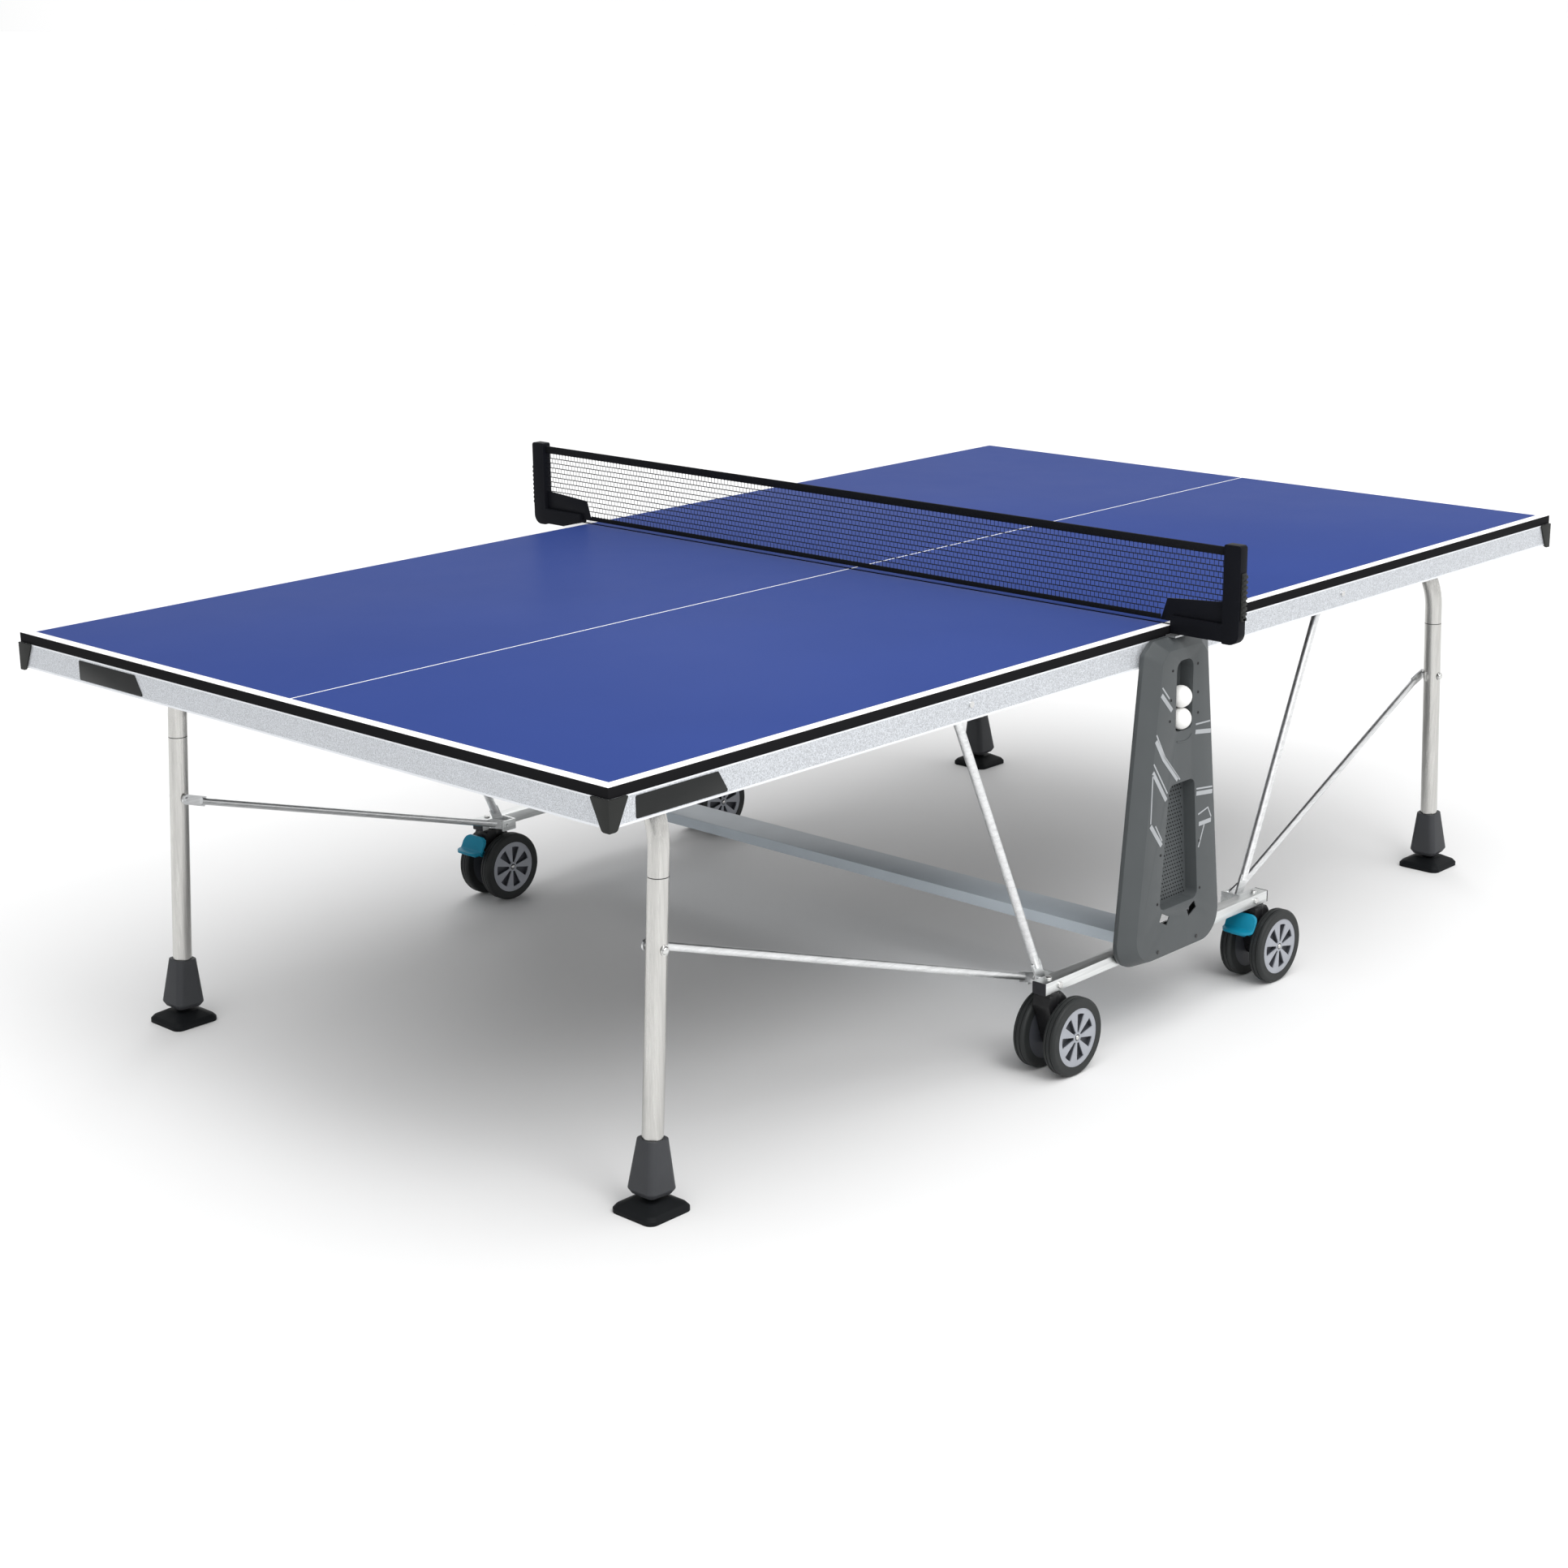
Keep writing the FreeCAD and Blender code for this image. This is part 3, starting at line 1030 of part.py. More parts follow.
def brake_lever():
    """Scoop-shaped pedal over the front of both wheels, on a barrel that pivots beside the fork's head."""
    x = LEVER_PIVOT_X
    z = LEVER_PIVOT_Z
    lip = (x - LEVER_LIP_REACH, z + LEVER_LIP_RISE)
    bend = (x - LEVER_BEND_REACH, z + LEVER_LIP_RISE)
    top = (x + LEVER_TOP_REACH, z + LEVER_TOP_RISE)
    thick = LEVER_THICKNESS
    profile = [lip, bend, (top[0], top[1] - thick), top, (top[0] - thick, top[1]),
               (bend[0] - thick / 2, bend[1] + thick), (lip[0], lip[1] + thick)]
    radii = [1.0, 9.0, 1.0, 1.0, 1.0, 5.0, 1.0]
    half = LEVER_HALF_WIDTH
    pedal = slab(rounded_wire(profile, radii, -half), 2 * half)
    plan = [(lip[0], -half), (top[0] + 1, -half), (top[0] + 1, half), (lip[0], half)]
    plan_radii = [LEVER_LIP_CORNER, 0.5, 0.5, LEVER_LIP_CORNER]
    above = slab(rounded_wire(plan, plan_radii, z - thick), LEVER_TOP_RISE + 2 * thick)
    above.rotate(Vector(0, 0, 0), Vector(1, 0, 0), 90)
    front = [(-half, z - thick), (half, z - thick), (half, top[1]), (-half, top[1])]
    front_radii = [0.5, 0.5, LEVER_TOP_CORNER, LEVER_TOP_CORNER]
    ahead = slab(rounded_wire(front, front_radii, -top[0] - 1), top[0] - lip[0] + 2)
    ahead.rotate(Vector(0, 0, 0), Vector(0, 0, 1), 90)
    pedal = pedal.common(above).common(ahead)
    reach = FORK_HALF_WIDTH - PIN_HEAD_PROUD
    barrel = cross_rod(x, z, -reach, reach, LEVER_BARREL_RADIUS)
    neck = box(bend[0] - thick, x, -reach, reach, z - thick / 2, z + LEVER_LIP_RISE + thick / 2)
    return fuse([barrel, neck, pedal])


CASTERS = {"a_near": (-1, -1), "a_far": (-1, 1), "b_near": (1, -1), "b_far": (1, 1)}
BRAKED = ("a_far", "b_near")


def at_caster(shape, corner):
    """A caster shape moved to its corner of the base."""
    sign_x, sign_y = CASTERS[corner]
    moved = shape.copy()
    moved.translate(Vector(sign_x * CASTER_X, sign_y * RAIL_CENTRE, 0))
    return moved


def write_halves():
    for half in ("a", "b"):
        save("top_board_" + half, [on_half(top_board(), half)])
        side = on_half(apron_side(), half)
        save("apron_sides_" + half, both_sides(side))
        ends = [apron_end(HALF_LENGTH, -1), apron_end(NET_END + APRON_SETBACK, 1)]
        save("apron_ends_" + half, [on_half(end, half) for end in ends])
        save("corner_caps_" + half, both_sides(on_half(corner_cap(), half)))
        save("leg_clips_" + half, both_sides(on_half(leg_clip(), half)))
        hardware = both_sides(on_half(slide_pin(), half)) + both_sides(on_half(strut_bolt(), half))
        save("pivot_pins_" + half, hardware)
        save("struts_" + half, both_sides(on_half(strut(), half)))
        save("stays_" + half, both_sides(on_half(stay(), half)))
        save("slide_runners_" + half, both_sides(on_half(runner(), half)))
    save("badge_plates", [flip_x(badge_plate(True)), flip_x(badge_plate(False))])


def write_legs():
    for half in ("a", "b"):
        save("leg_frame_" + half, [on_half(leg_frame(), half)])
        save("lower_legs_" + half, both_sides(on_half(lower_leg(), half)))
        save("foot_sleeves_" + half, both_sides(on_half(foot_sleeve(), half)))
        pad = on_half(foot_pad(), half)
        save("foot_pad_" + half + "_far", [pad])
        save("foot_pad_" + half + "_near", [flip_y(pad)])


def write_base():
    far_nodes = {"base_rail": base_rail(), "upright": upright(), "side_panel": side_panel(),
                 "net_post": net_post(), "net_adjuster": net_adjuster()}
    for name, shape in far_nodes.items():
        save(name + "_far", [shape])
        save(name + "_near", [flip_y(shape)])
    save("cross_beam", [cross_beam()])
    plug = rail_plug()
    save("rail_plugs", both_sides(plug) + both_sides(flip_x(plug)))
    heads = base_fasteners()
    save("base_fasteners", heads + [flip_y(head) for head in heads])
    save("net_mesh", [net_mesh()])
    save("net_bindings", net_bindings())
    wing = across(wing_points(), WING_THICKNESS)
    save("net_corner_plates", both_sides(wing))
    save("balls", balls())


def write_casters():
    fork = caster_fork()
    hub = wheel_hub()
    tyre = wheel_tyre()
    for corner in CASTERS:
        save("caster_fork_" + corner, [at_caster(solid, corner) for solid in fork])
        save("caster_hubs_" + corner, [at_caster(solid, corner) for solid in both_sides(hub)])
        save("caster_tyres_" + corner, [at_caster(solid, corner) for solid in both_sides(tyre)])
    for corner in BRAKED:
        save("brake_lever_" + corner, [at_caster(brake_lever(), corner)])


os.makedirs("parts", exist_ok=True)
write_halves()
write_legs()
write_base()
write_casters()
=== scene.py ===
"""Rollaway table tennis table: its finishes, net, trim and fasteners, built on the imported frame."""
import json
import logging
import math
from collections.abc import Iterable, Sequence
from dataclasses import dataclass
from enum import Enum

import bmesh
import bpy
from mathutils import Matrix, Vector

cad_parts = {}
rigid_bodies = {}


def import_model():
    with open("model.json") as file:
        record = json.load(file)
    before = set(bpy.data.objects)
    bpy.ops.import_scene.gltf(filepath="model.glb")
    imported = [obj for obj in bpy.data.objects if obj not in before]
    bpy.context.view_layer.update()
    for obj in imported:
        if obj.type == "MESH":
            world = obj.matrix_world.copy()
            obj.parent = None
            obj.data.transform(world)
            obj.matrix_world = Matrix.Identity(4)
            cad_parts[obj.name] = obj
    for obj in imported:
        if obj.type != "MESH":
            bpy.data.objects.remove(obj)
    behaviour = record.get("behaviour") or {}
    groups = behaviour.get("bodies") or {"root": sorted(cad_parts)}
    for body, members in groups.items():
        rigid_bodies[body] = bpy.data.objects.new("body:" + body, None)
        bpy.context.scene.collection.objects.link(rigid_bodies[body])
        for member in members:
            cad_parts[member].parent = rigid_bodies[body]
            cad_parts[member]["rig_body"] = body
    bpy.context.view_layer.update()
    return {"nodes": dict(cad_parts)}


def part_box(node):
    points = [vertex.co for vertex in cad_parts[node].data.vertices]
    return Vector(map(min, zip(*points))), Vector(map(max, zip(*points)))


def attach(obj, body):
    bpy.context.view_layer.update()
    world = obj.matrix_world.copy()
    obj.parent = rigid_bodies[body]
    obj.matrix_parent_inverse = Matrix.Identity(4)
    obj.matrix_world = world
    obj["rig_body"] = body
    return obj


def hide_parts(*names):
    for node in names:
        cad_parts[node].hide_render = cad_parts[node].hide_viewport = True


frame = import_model()

logging.basicConfig(level=logging.INFO, format="%(message)s")
log = logging.getLogger("table")

Colour = tuple[float, float, float]
Socket = bpy.types.NodeSocket
HALVES = ("a", "b")
SIDES = ("near", "far")
CORNERS = ("a_near", "a_far", "b_near", "b_far")
MM = 0.001
MERGE_WITHIN = 0.02 * MM
FLAT_WITHIN = math.radians(0.5)


class Axis(Enum):
    """The way a round bar points."""

    X = "x"
    Y = "y"
    Z = "z"

    def turn(self) -> Matrix:
        """The rotation that lays a bar drawn along Z on this axis."""
        if self is Axis.X:
            return Matrix.Rotation(math.pi / 2, 4, "Y")
        if self is Axis.Y:
            return Matrix.Rotation(math.pi / 2, 4, "X")
        return Matrix.Identity(4)


# Finishes

class Recipe:
    """A material being mixed, with short calls for the nodes that it needs."""

    def __init__(self, name: str, **uniform: object) -> None:
        """Starts a material.

        Args:
            name: the material's name.
            uniform: shader values that are the same all over, by socket name with underscores.
        """
        self.material = bpy.data.materials.new(name)
        self.material.use_nodes = True
        self.tree = self.material.node_tree
        self.shader = next(n for n in self.tree.nodes if n.type == "BSDF_PRINCIPLED")
        self.place = self.tree.nodes.new("ShaderNodeTexCoord").outputs["Object"]
        for socket, value in uniform.items():
            self.shader.inputs[socket.replace("_", " ")].default_value = value

    def node(self, kind: str, **settings: object) -> bpy.types.ShaderNode:
        """A new node with its options set.

        Args:
            kind: the node's type.
            settings: its options, by name.

        Returns:
            The node.
        """
        made = self.tree.nodes.new(kind)
        for key, value in settings.items():
            setattr(made, key, value)
        return made

    def feed(self, socket: Socket, value: object) -> None:
        """Links a socket's source to it, or sets its plain value.

        Args:
            socket: the socket that is fed.
            value: another socket, a colour, a vector or a number.
        """
        if isinstance(value, Socket):
            self.tree.links.new(value, socket)
        elif isinstance(value, tuple):
            socket.default_value = (*value, 1.0) if len(socket.default_value) == 4 else value
        else:
            socket.default_value = value

    def calc(self, operation: str, *values: object) -> Socket:
        """The result of one sum on sockets or numbers.

        Args:
            operation: the sum's name.
            values: what it works on.

        Returns:
            The result's socket.
        """
        made = self.node("ShaderNodeMath", operation=operation)
        for socket, value in zip(made.inputs, values):
            self.feed(socket, value)
        return made.outputs[0]

    def axes(self) -> tuple[Socket, Socket, Socket]:
        """X, Y and Z of the point, in metres."""
        made = self.node("ShaderNodeSeparateXYZ")
        self.feed(made.inputs[0], self.place)
        return made.outputs[0], made.outputs[1], made.outputs[2]

    def stretched(self, scale: tuple[float, float, float]) -> Socket:
        """The point's place, scaled along each axis."""
        made = self.node("ShaderNodeMapping")
        self.feed(made.inputs["Vector"], self.place)
        made.inputs["Scale"].default_value = scale
        return made.outputs[0]

    def noise(self, size: float, detail: float = 2.0,
              stretch: tuple[float, float, float] = (1, 1, 1)) -> Socket:
        """Soft noise.

        Args:
            size: about how large its features are, in metres.
            detail: how many finer layers it has.
            stretch: a share for each axis; a small one draws the noise out along it.

        Returns:
            The noise, from 0 to 1.
        """
        made = self.node("ShaderNodeTexNoise")
        self.feed(made.inputs["Vector"], self.stretched(tuple(s / size for s in stretch)))
        made.inputs["Scale"].default_value = 1.0
        made.inputs["Detail"].default_value = detail
        return made.outputs["Fac"]

    def cells(self, size: float) -> Socket:
        """Distance to the nearest of many scattered points.

        Args:
            size: about how far apart the points are, in metres.

        Returns:
            The distance, in cells.
        """
        made = self.node("ShaderNodeTexVoronoi")
        self.feed(made.inputs["Vector"], self.place)
        made.inputs["Scale"].default_value = 1.0 / size
        return made.outputs["Distance"]

    def between(self, value: Socket, low: float, high: float) -> Socket:
        """1 where the value lies between two limits, otherwise 0."""
        return self.calc("COMPARE", value, (low + high) / 2, (high - low) / 2)

    def spread(self, value: Socket, low: float, high: float) -> Socket:
        """A 0 to 1 value brought to another range.

        Args:
            value: the value.
            low: what 0 becomes.
            high: what 1 becomes.

        Returns:
            The new value.
        """
        made = self.node("ShaderNodeMapRange")
        self.feed(made.inputs["Value"], value)
        made.inputs["To Min"].default_value = low
        made.inputs["To Max"].default_value = high
        return made.outputs[0]

    def mixed(self, share: object, first: object, second: object) -> Socket:
        """Two colours mixed.

        Args:
            share: 0 gives the first colour, 1 the second.
            first: a colour or a socket.
            second: a colour or a socket.

        Returns:
            The mixed colour.
        """
        made = self.node("ShaderNodeMix", data_type="RGBA")
        self.feed(made.inputs[0], share)
        self.feed(made.inputs[6], first)
        self.feed(made.inputs[7], second)
        return made.outputs[2]

    def bump(self, height: Socket, depth: float, strength: float = 1.0) -> None:
        """Puts fine relief on the surface.

        Args:
            height: the relief, from 0 to 1.
            depth: its depth in metres.
            strength: how much of it is used.
        """
        made = self.node("ShaderNodeBump")
        made.inputs["Strength"].default_value = strength
        made.inputs["Distance"].default_value = depth
        self.feed(made.inputs["Height"], height)
        self.feed(self.shader.inputs["Normal"], made.outputs[0])

    def done(self, colour: object = None, roughness: object = None,
             metallic: object = None) -> bpy.types.Material:
        """Feeds the main channels and hands the material over.

        Args:
            colour: the base colour.
            roughness: the roughness.
            metallic: the share of metal.

        Returns:
            The material.
        """
        for socket, value in (("Base Color", colour), ("Roughness", roughness), ("Metallic", metallic)):
            if value is not None:
                self.feed(self.shader.inputs[socket], value)
        return self.material


def tinted(colour: Colour, share: float) -> Colour:
    """The colour made lighter (share over 1) or darker."""
    return tuple(min(1.0, c * share) for c in colour)


@dataclass(frozen=True)
class Moulding:
    """Moulded plastic or rubber with a fine grain."""

    name: str
    colour: Colour
    roughness: float = 0.5
    grain: float = 0.8 * MM
    depth: float = 0.05 * MM
    drift: float = 0.12
    coat: float = 0.0
    shine: float = 0.2

    def material(self) -> bpy.types.Material:
        """Mixes the plastic."""
        mix = Recipe(self.name, Coat_Weight=self.coat, Specular_IOR_Level=self.shine)
        patchy = mix.noise(60 * MM, 3.0)
        colour = mix.mixed(patchy, tinted(self.colour, 1 - self.drift), tinted(self.colour, 1 + self.drift))
        mix.bump(mix.noise(self.grain, 3.0), self.depth)
        worn = mix.spread(mix.noise(25 * MM, 2.0), self.roughness - 0.05, self.roughness + 0.07)
        return mix.done(colour, worn)


@dataclass(frozen=True)
class PlatedSteel:
    """Zinc-plated steel with fine lines drawn along it, which are partly grain and partly painted reflection
    streaks.
    """

    name: str
    colour: Colour = (0.66, 0.67, 0.675)
    roughness: float = 0.3
    along: Axis = Axis.Z
    line: float = 1.2 * MM
    length: float = 120 * MM
    seam_below: str = ""
    seam_rise: float = 0.5 * MM
    seam_width: float = 1.5 * MM

    def material(self) -> bpy.types.Material:
        """Mixes the metal."""
        mix = Recipe(self.name, Metallic=1.0)
        slow = self.line / self.length
        stretch = tuple(slow if axis is self.along else 1.0 for axis in Axis)
        lines = mix.noise(self.line, 3.0, stretch)
        broad = mix.noise(self.line * 5, 2.0, stretch)
        # the light and dark streaks along the bar are partly drawn grain and partly painted reflection
        grain_and_reflection_streaks = mix.calc("MULTIPLY", mix.calc("ADD", lines, broad), 0.5)
        contrast = mix.spread(grain_and_reflection_streaks, -0.7, 1.7)
        colour = mix.mixed(contrast, tinted(self.colour, 0.78), tinted(self.colour, 1.14))
        if self.seam_below:
            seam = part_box(self.seam_below)[0].z + self.seam_rise
            mark = mix.between(mix.axes()[2], seam, seam + self.seam_width)
            colour = mix.mixed(mark, colour, tinted(self.colour, 0.06))
        mix.bump(lines, 0.04 * MM, 0.7)
        return mix.done(colour, mix.spread(grain_and_reflection_streaks, self.roughness - 0.12, self.roughness + 0.14))


@dataclass(frozen=True)
class PaintedSteel:
    """Satin paint on sheet steel, with a slight orange peel."""

    name: str
    colour: Colour
    roughness: float = 0.42
    metallic: float = 0.25

    def material(self) -> bpy.types.Material:
        """Mixes the paint."""
        mix = Recipe(self.name, Metallic=self.metallic)
        peel = mix.noise(2.5 * MM, 3.0)
        dusty = mix.noise(90 * MM, 3.0)
        colour = mix.mixed(dusty, tinted(self.colour, 0.92), tinted(self.colour, 1.08))
        mix.bump(peel, 0.05 * MM, 0.6)
        return mix.done(colour, mix.spread(peel, self.roughness - 0.05, self.roughness + 0.08))


@dataclass(frozen=True)
class BoardPaint:
    """The playing surface: blue paint with white border and centre lines, on a black-edged board."""

    blue: Colour = (0.034, 0.06, 0.222)
    white: Colour = (0.9, 0.9, 0.9)
    edge: Colour = (0.012, 0.012, 0.013)
    border: float = 20 * MM
    centre_line: float = 3 * MM
    skin: float = 0.3 * MM

    def material(self) -> bpy.types.Material:
        """Mixes the board's paint from the board's own size."""
        low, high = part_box("top_board_b")
        mix = Recipe("board_paint", Specular_IOR_Level=0.005)
        x, y, z = mix.axes()
        from_end = mix.calc("SUBTRACT", high.x - self.border, mix.calc("ABSOLUTE", x))
        from_side = mix.calc("SUBTRACT", high.y - self.border, mix.calc("ABSOLUTE", y))
        border = mix.calc("LESS_THAN", mix.calc("MINIMUM", from_end, from_side), 0.0)
        centre = mix.calc("LESS_THAN", mix.calc("ABSOLUTE", y), self.centre_line / 2)
        lines = mix.calc("MAXIMUM", border, centre)
        on_top = mix.calc("GREATER_THAN", z, high.z - self.skin)
        # large soft patches of lighter and darker blue: partly random tone, partly painted sheen
        tone_and_sheen_patches = mix.noise(350 * MM, 3.0)
        blue = mix.mixed(tone_and_sheen_patches, tinted(self.blue, 0.94), tinted(self.blue, 1.06))
        top = mix.mixed(lines, blue, self.white)
        fleck = mix.noise(1.2 * MM, 2.0)
        mix.bump(fleck, 0.03 * MM, 0.5)
        sheen = mix.spread(mix.noise(140 * MM, 3.0), 0.4, 0.47)
        return mix.done(mix.mixed(on_top, self.edge, top), sheen)


@dataclass(frozen=True)
class HammeredSilver:
    """The aprons' silver paint: a fine sparkling grain between two smooth bright edges."""

    colour: Colour = (0.56, 0.58, 0.61)
    bright: Colour = (0.78, 0.8, 0.83)
    fleck: float = 1.6 * MM
    lip: float = 3.5 * MM

    def material(self) -> bpy.types.Material:
        """Mixes the paint, with the lips placed from the apron's own height."""
        low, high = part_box("apron_sides_b")
        mix = Recipe("hammered_silver")
        z = mix.axes()[2]
        edges = mix.calc("SUBTRACT", 1.0, mix.between(z, low.z + self.lip, high.z - self.lip * 0.7))
        flecks = mix.noise(self.fleck, 3.0)
        sharp = mix.spread(flecks, -0.9, 1.9)
        grain = mix.mixed(sharp, tinted(self.colour, 0.72), tinted(self.colour, 1.3))
        mix.bump(flecks, 0.12 * MM, 0.6)
        rough = mix.spread(mix.cells(self.fleck * 2), 0.32, 0.55)
        return mix.done(mix.mixed(edges, grain, self.bright), rough, mix.spread(edges, 0.62, 0.35))


@dataclass(frozen=True)
class HubPlastic:
    """Grey moulded wheel centres, with painted shade: dark in the recesses and on the inner side."""

    grey: Colour = (0.33, 0.345, 0.38)
    face_depth: float = 2.0 * MM
    # the colour of the painted shade in the recesses and on the inner sides
    recess_shade: Colour = (0.06, 0.064, 0.075)

    def material(self) -> bpy.types.Material:
        """Mixes the plastic, with the painted shade in the recesses found from the hub's own width."""
        low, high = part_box("caster_hubs_a_far")
        middle = (low.y + high.y) / 2
        floor = (high.y - low.y) / 2 - self.face_depth
        mix = Recipe("hub_plastic", Specular_IOR_Level=0.4)
        y = mix.axes()[1]
        from_middle = mix.calc("ABSOLUTE", mix.calc("SUBTRACT", mix.calc("ABSOLUTE", y), middle))
        # painted shade: all but the outer face_depth of each face takes the dark recess colour
        in_painted_shade = mix.calc("LESS_THAN", from_middle, floor)
        patchy = mix.noise(20 * MM, 2.0)
        grey = mix.mixed(patchy, tinted(self.grey, 0.9), tinted(self.grey, 1.1))
        mix.bump(mix.noise(0.6 * MM, 2.0), 0.04 * MM)
        return mix.done(mix.mixed(in_painted_shade, grey, self.recess_shade), mix.spread(patchy, 0.32, 0.42))


@dataclass(frozen=True)
class BaseBolts:
    """Bright zinc bolts, black where they are screws on or behind a side cover."""

    zinc: Colour = (0.7, 0.7, 0.69)
    black: Colour = (0.02, 0.02, 0.021)
    reach: float = 130 * MM

    def material(self) -> bpy.types.Material:
        """Mixes both finishes, told apart by the place of the screws."""
        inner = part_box("base_rail_far")[0].y
        mix = Recipe("base_bolts")
        x, y, _ = mix.axes()
        outside = mix.calc("GREATER_THAN", mix.calc("ABSOLUTE", y), inner)
        central = mix.calc("LESS_THAN", mix.calc("ABSOLUTE", x), self.reach)
        cover = mix.calc("MULTIPLY", outside, central)
        fine = mix.noise(0.8 * MM, 3.0)
        bright = mix.mixed(fine, tinted(self.zinc, 0.85), tinted(self.zinc, 1.12))
        mix.bump(fine, 0.02 * MM)
        return mix.done(mix.mixed(cover, bright, self.black), mix.spread(fine, 0.2, 0.34),
                        mix.spread(cover, 1.0, 0.0))


@dataclass(frozen=True)
class Webbing:
    """Woven black binding tape."""

    name: str = "net_webbing"
    colour: Colour = (0.008, 0.0085, 0.01)
    thread: float = 0.9 * MM

    def material(self) -> bpy.types.Material:
        """Mixes the tape from two crossed sets of threads."""
        mix = Recipe(self.name, Specular_IOR_Level=0.1)
        _, y, z = mix.axes()
        warp = mix.calc("SINE", mix.calc("MULTIPLY", y, 2 * math.pi / self.thread))
        weft = mix.calc("SINE", mix.calc("MULTIPLY", z, 2 * math.pi / self.thread))
        weave = mix.calc("MULTIPLY", warp, weft)
        mix.bump(weave, 0.15 * MM)
        fuzz = mix.noise(4 * MM, 3.0)
        return mix.done(mix.mixed(fuzz, tinted(self.colour, 0.7), tinted(self.colour, 1.5)),
                        mix.spread(fuzz, 0.68, 0.85))


BOARD = BoardPaint()
SILVER = HammeredSilver()
HUB = HubPlastic()
BASE_BOLTS = BaseBolts()
WEBBING = Webbing()
CORD = Moulding("net_cord", (0.012, 0.0125, 0.015), 0.75, 0.5 * MM, 0.1 * MM)
LEG_ZINC = PlatedSteel("leg_zinc", (0.6, 0.593, 0.572), 0.24, seam_below="leg_frame_b")
BAR_ZINC = PlatedSteel("bar_zinc", (0.8, 0.81, 0.815), 0.34, Axis.X)
RAIL_ZINC = PlatedSteel("rail_zinc", (0.8, 0.815, 0.81), 0.4, Axis.X, 2 * MM, 60 * MM)
PLATE_ZINC = PlatedSteel("plate_zinc", (0.55, 0.56, 0.57), 0.42, Axis.Z, 3 * MM, 20 * MM)
BOLT_ZINC = PlatedSteel("bolt_zinc", (0.7, 0.7, 0.69), 0.24, Axis.Y, 0.8 * MM, 3 * MM)
# the beam's grey is lifted well above its real paint, as painted fill light for its shade under the table
BEAM_PAINTED_LIGHT_GREY = PaintedSteel("beam_painted_light_grey", (0.62, 0.69, 0.75), 0.42, 0.05)
CAP_BLACK = Moulding("cap_black", (0.02, 0.021, 0.02), 0.45, shine=0.15)
SLEEVE_BLACK = Moulding("sleeve_charcoal", (0.045, 0.047, 0.051), 0.46, 1.0 * MM)
PAD_BLACK = Moulding("pad_rubber", (0.008, 0.009, 0.01), 0.55, 1.0 * MM, shine=0.1)
POST_BLACK = Moulding("post_black", (0.008, 0.0085, 0.011), 0.45, shine=0.05)
PLUG_BLACK = Moulding("plug_black", (0.022, 0.022, 0.026), 0.45)
FORK_BLACK = Moulding("fork_black", (0.01, 0.01, 0.011), 0.32, shine=0.3)
TYRE_BLACK = Moulding("tyre_rubber", (0.02, 0.022, 0.022), 0.55, 1.2 * MM, 0.08 * MM, shine=0.3)
PANEL_CHARCOAL = Moulding("panel_charcoal", (0.068, 0.075, 0.078), 0.42, 0.7 * MM, 0.06 * MM, 0.08, shine=0.3)
STUD_BLACK = Moulding("stud_black", (0.012, 0.012, 0.013), 0.5)
STRIPE_GREY = Moulding("stripe_grey", (0.36, 0.375, 0.39), 0.45, 0.5 * MM, 0.02 * MM)
PLATE_BLACK = Moulding("badge_black", (0.014, 0.015, 0.015), 0.36, 1.5 * MM, 0.02 * MM)
TEAL = Moulding("teal_plastic", (0.004, 0.21, 0.33), 0.36, 0.9 * MM, 0.03 * MM, 0.1, shine=0.25)
NYLON = Moulding("nylon", (0.72, 0.72, 0.67), 0.45, shine=0.4)
BALL_WHITE = Moulding("ball_white", (0.86, 0.86, 0.84), 0.38, 0.4 * MM, 0.01 * MM, 0.02, shine=0.4)

_mixed: dict[object, bpy.types.Material] = {}


def mixed(finish: object) -> bpy.types.Material:
    """The finish's material, mixed once."""
    if finish not in _mixed:
        _mixed[finish] = finish.material()
    return _mixed[finish]


# Making pieces

def dress(finish: object, *nodes: str) -> None:
    """Gives CAD nodes a finish.

    Args:
        finish: the finish to put in their material slots.
        nodes: the CAD nodes' names.
    """
    for name in nodes:
        slots = frame["nodes"][name].data.materials
        slots.clear()
        slots.append(mixed(finish))


def finished(shape: bmesh.types.BMesh, name: str, finish: object, body: str,
             stands_for: Sequence[str] = (), smooth: float = 35.0) -> bpy.types.Object:
    """Turns a modelled shape into a piece that rides on its body.

    Args:
        shape: the modelled shape, in place; it is freed.
        name: the piece's name.
        finish: its finish.
        body: the CAD body that it moves with.
        stands_for: CAD nodes that it replaces.
        smooth: edges that turn less than this many degrees are shaded smooth.

    Returns:
        The piece's object.
    """
    mesh = bpy.data.meshes.new(name)
    shape.to_mesh(mesh)
    shape.free()
    mesh.polygons.foreach_set("use_smooth", [True] * len(mesh.polygons))
    mesh.set_sharp_from_angle(angle=math.radians(smooth))
    mesh.materials.append(mixed(finish))
    piece = bpy.data.objects.new(name, mesh)
    bpy.context.scene.collection.objects.link(piece)
    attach(piece, body)
    if stands_for:
        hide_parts(*stands_for)
    log.info("piece %s: %d faces", name, len(mesh.polygons))
    return piece


def rounded(shape: bmesh.types.BMesh, edges: Iterable[bmesh.types.BMEdge], radius: float,
            segments: int = 2) -> None:
    """Rounds edges of a shape with one radius.

    Args:
        shape: the shape.
        edges: the edges to round.
        radius: the radius in metres.
        segments: how many faces make each rounding.
    """
    bmesh.ops.bevel(shape, geom=list(edges), offset=radius, offset_type="OFFSET", segments=segments,
                    profile=0.5, affect="EDGES", clamp_overlap=True, material=-1)


def sharp_edges(shape: bmesh.types.BMesh, turn: float) -> list[bmesh.types.BMEdge]:
    """The edges where two faces meet at more than a turn in degrees."""
    limit = math.radians(turn)
    return [e for e in shape.edges if len(e.link_faces) == 2 and e.calc_face_angle(0.0) > limit]


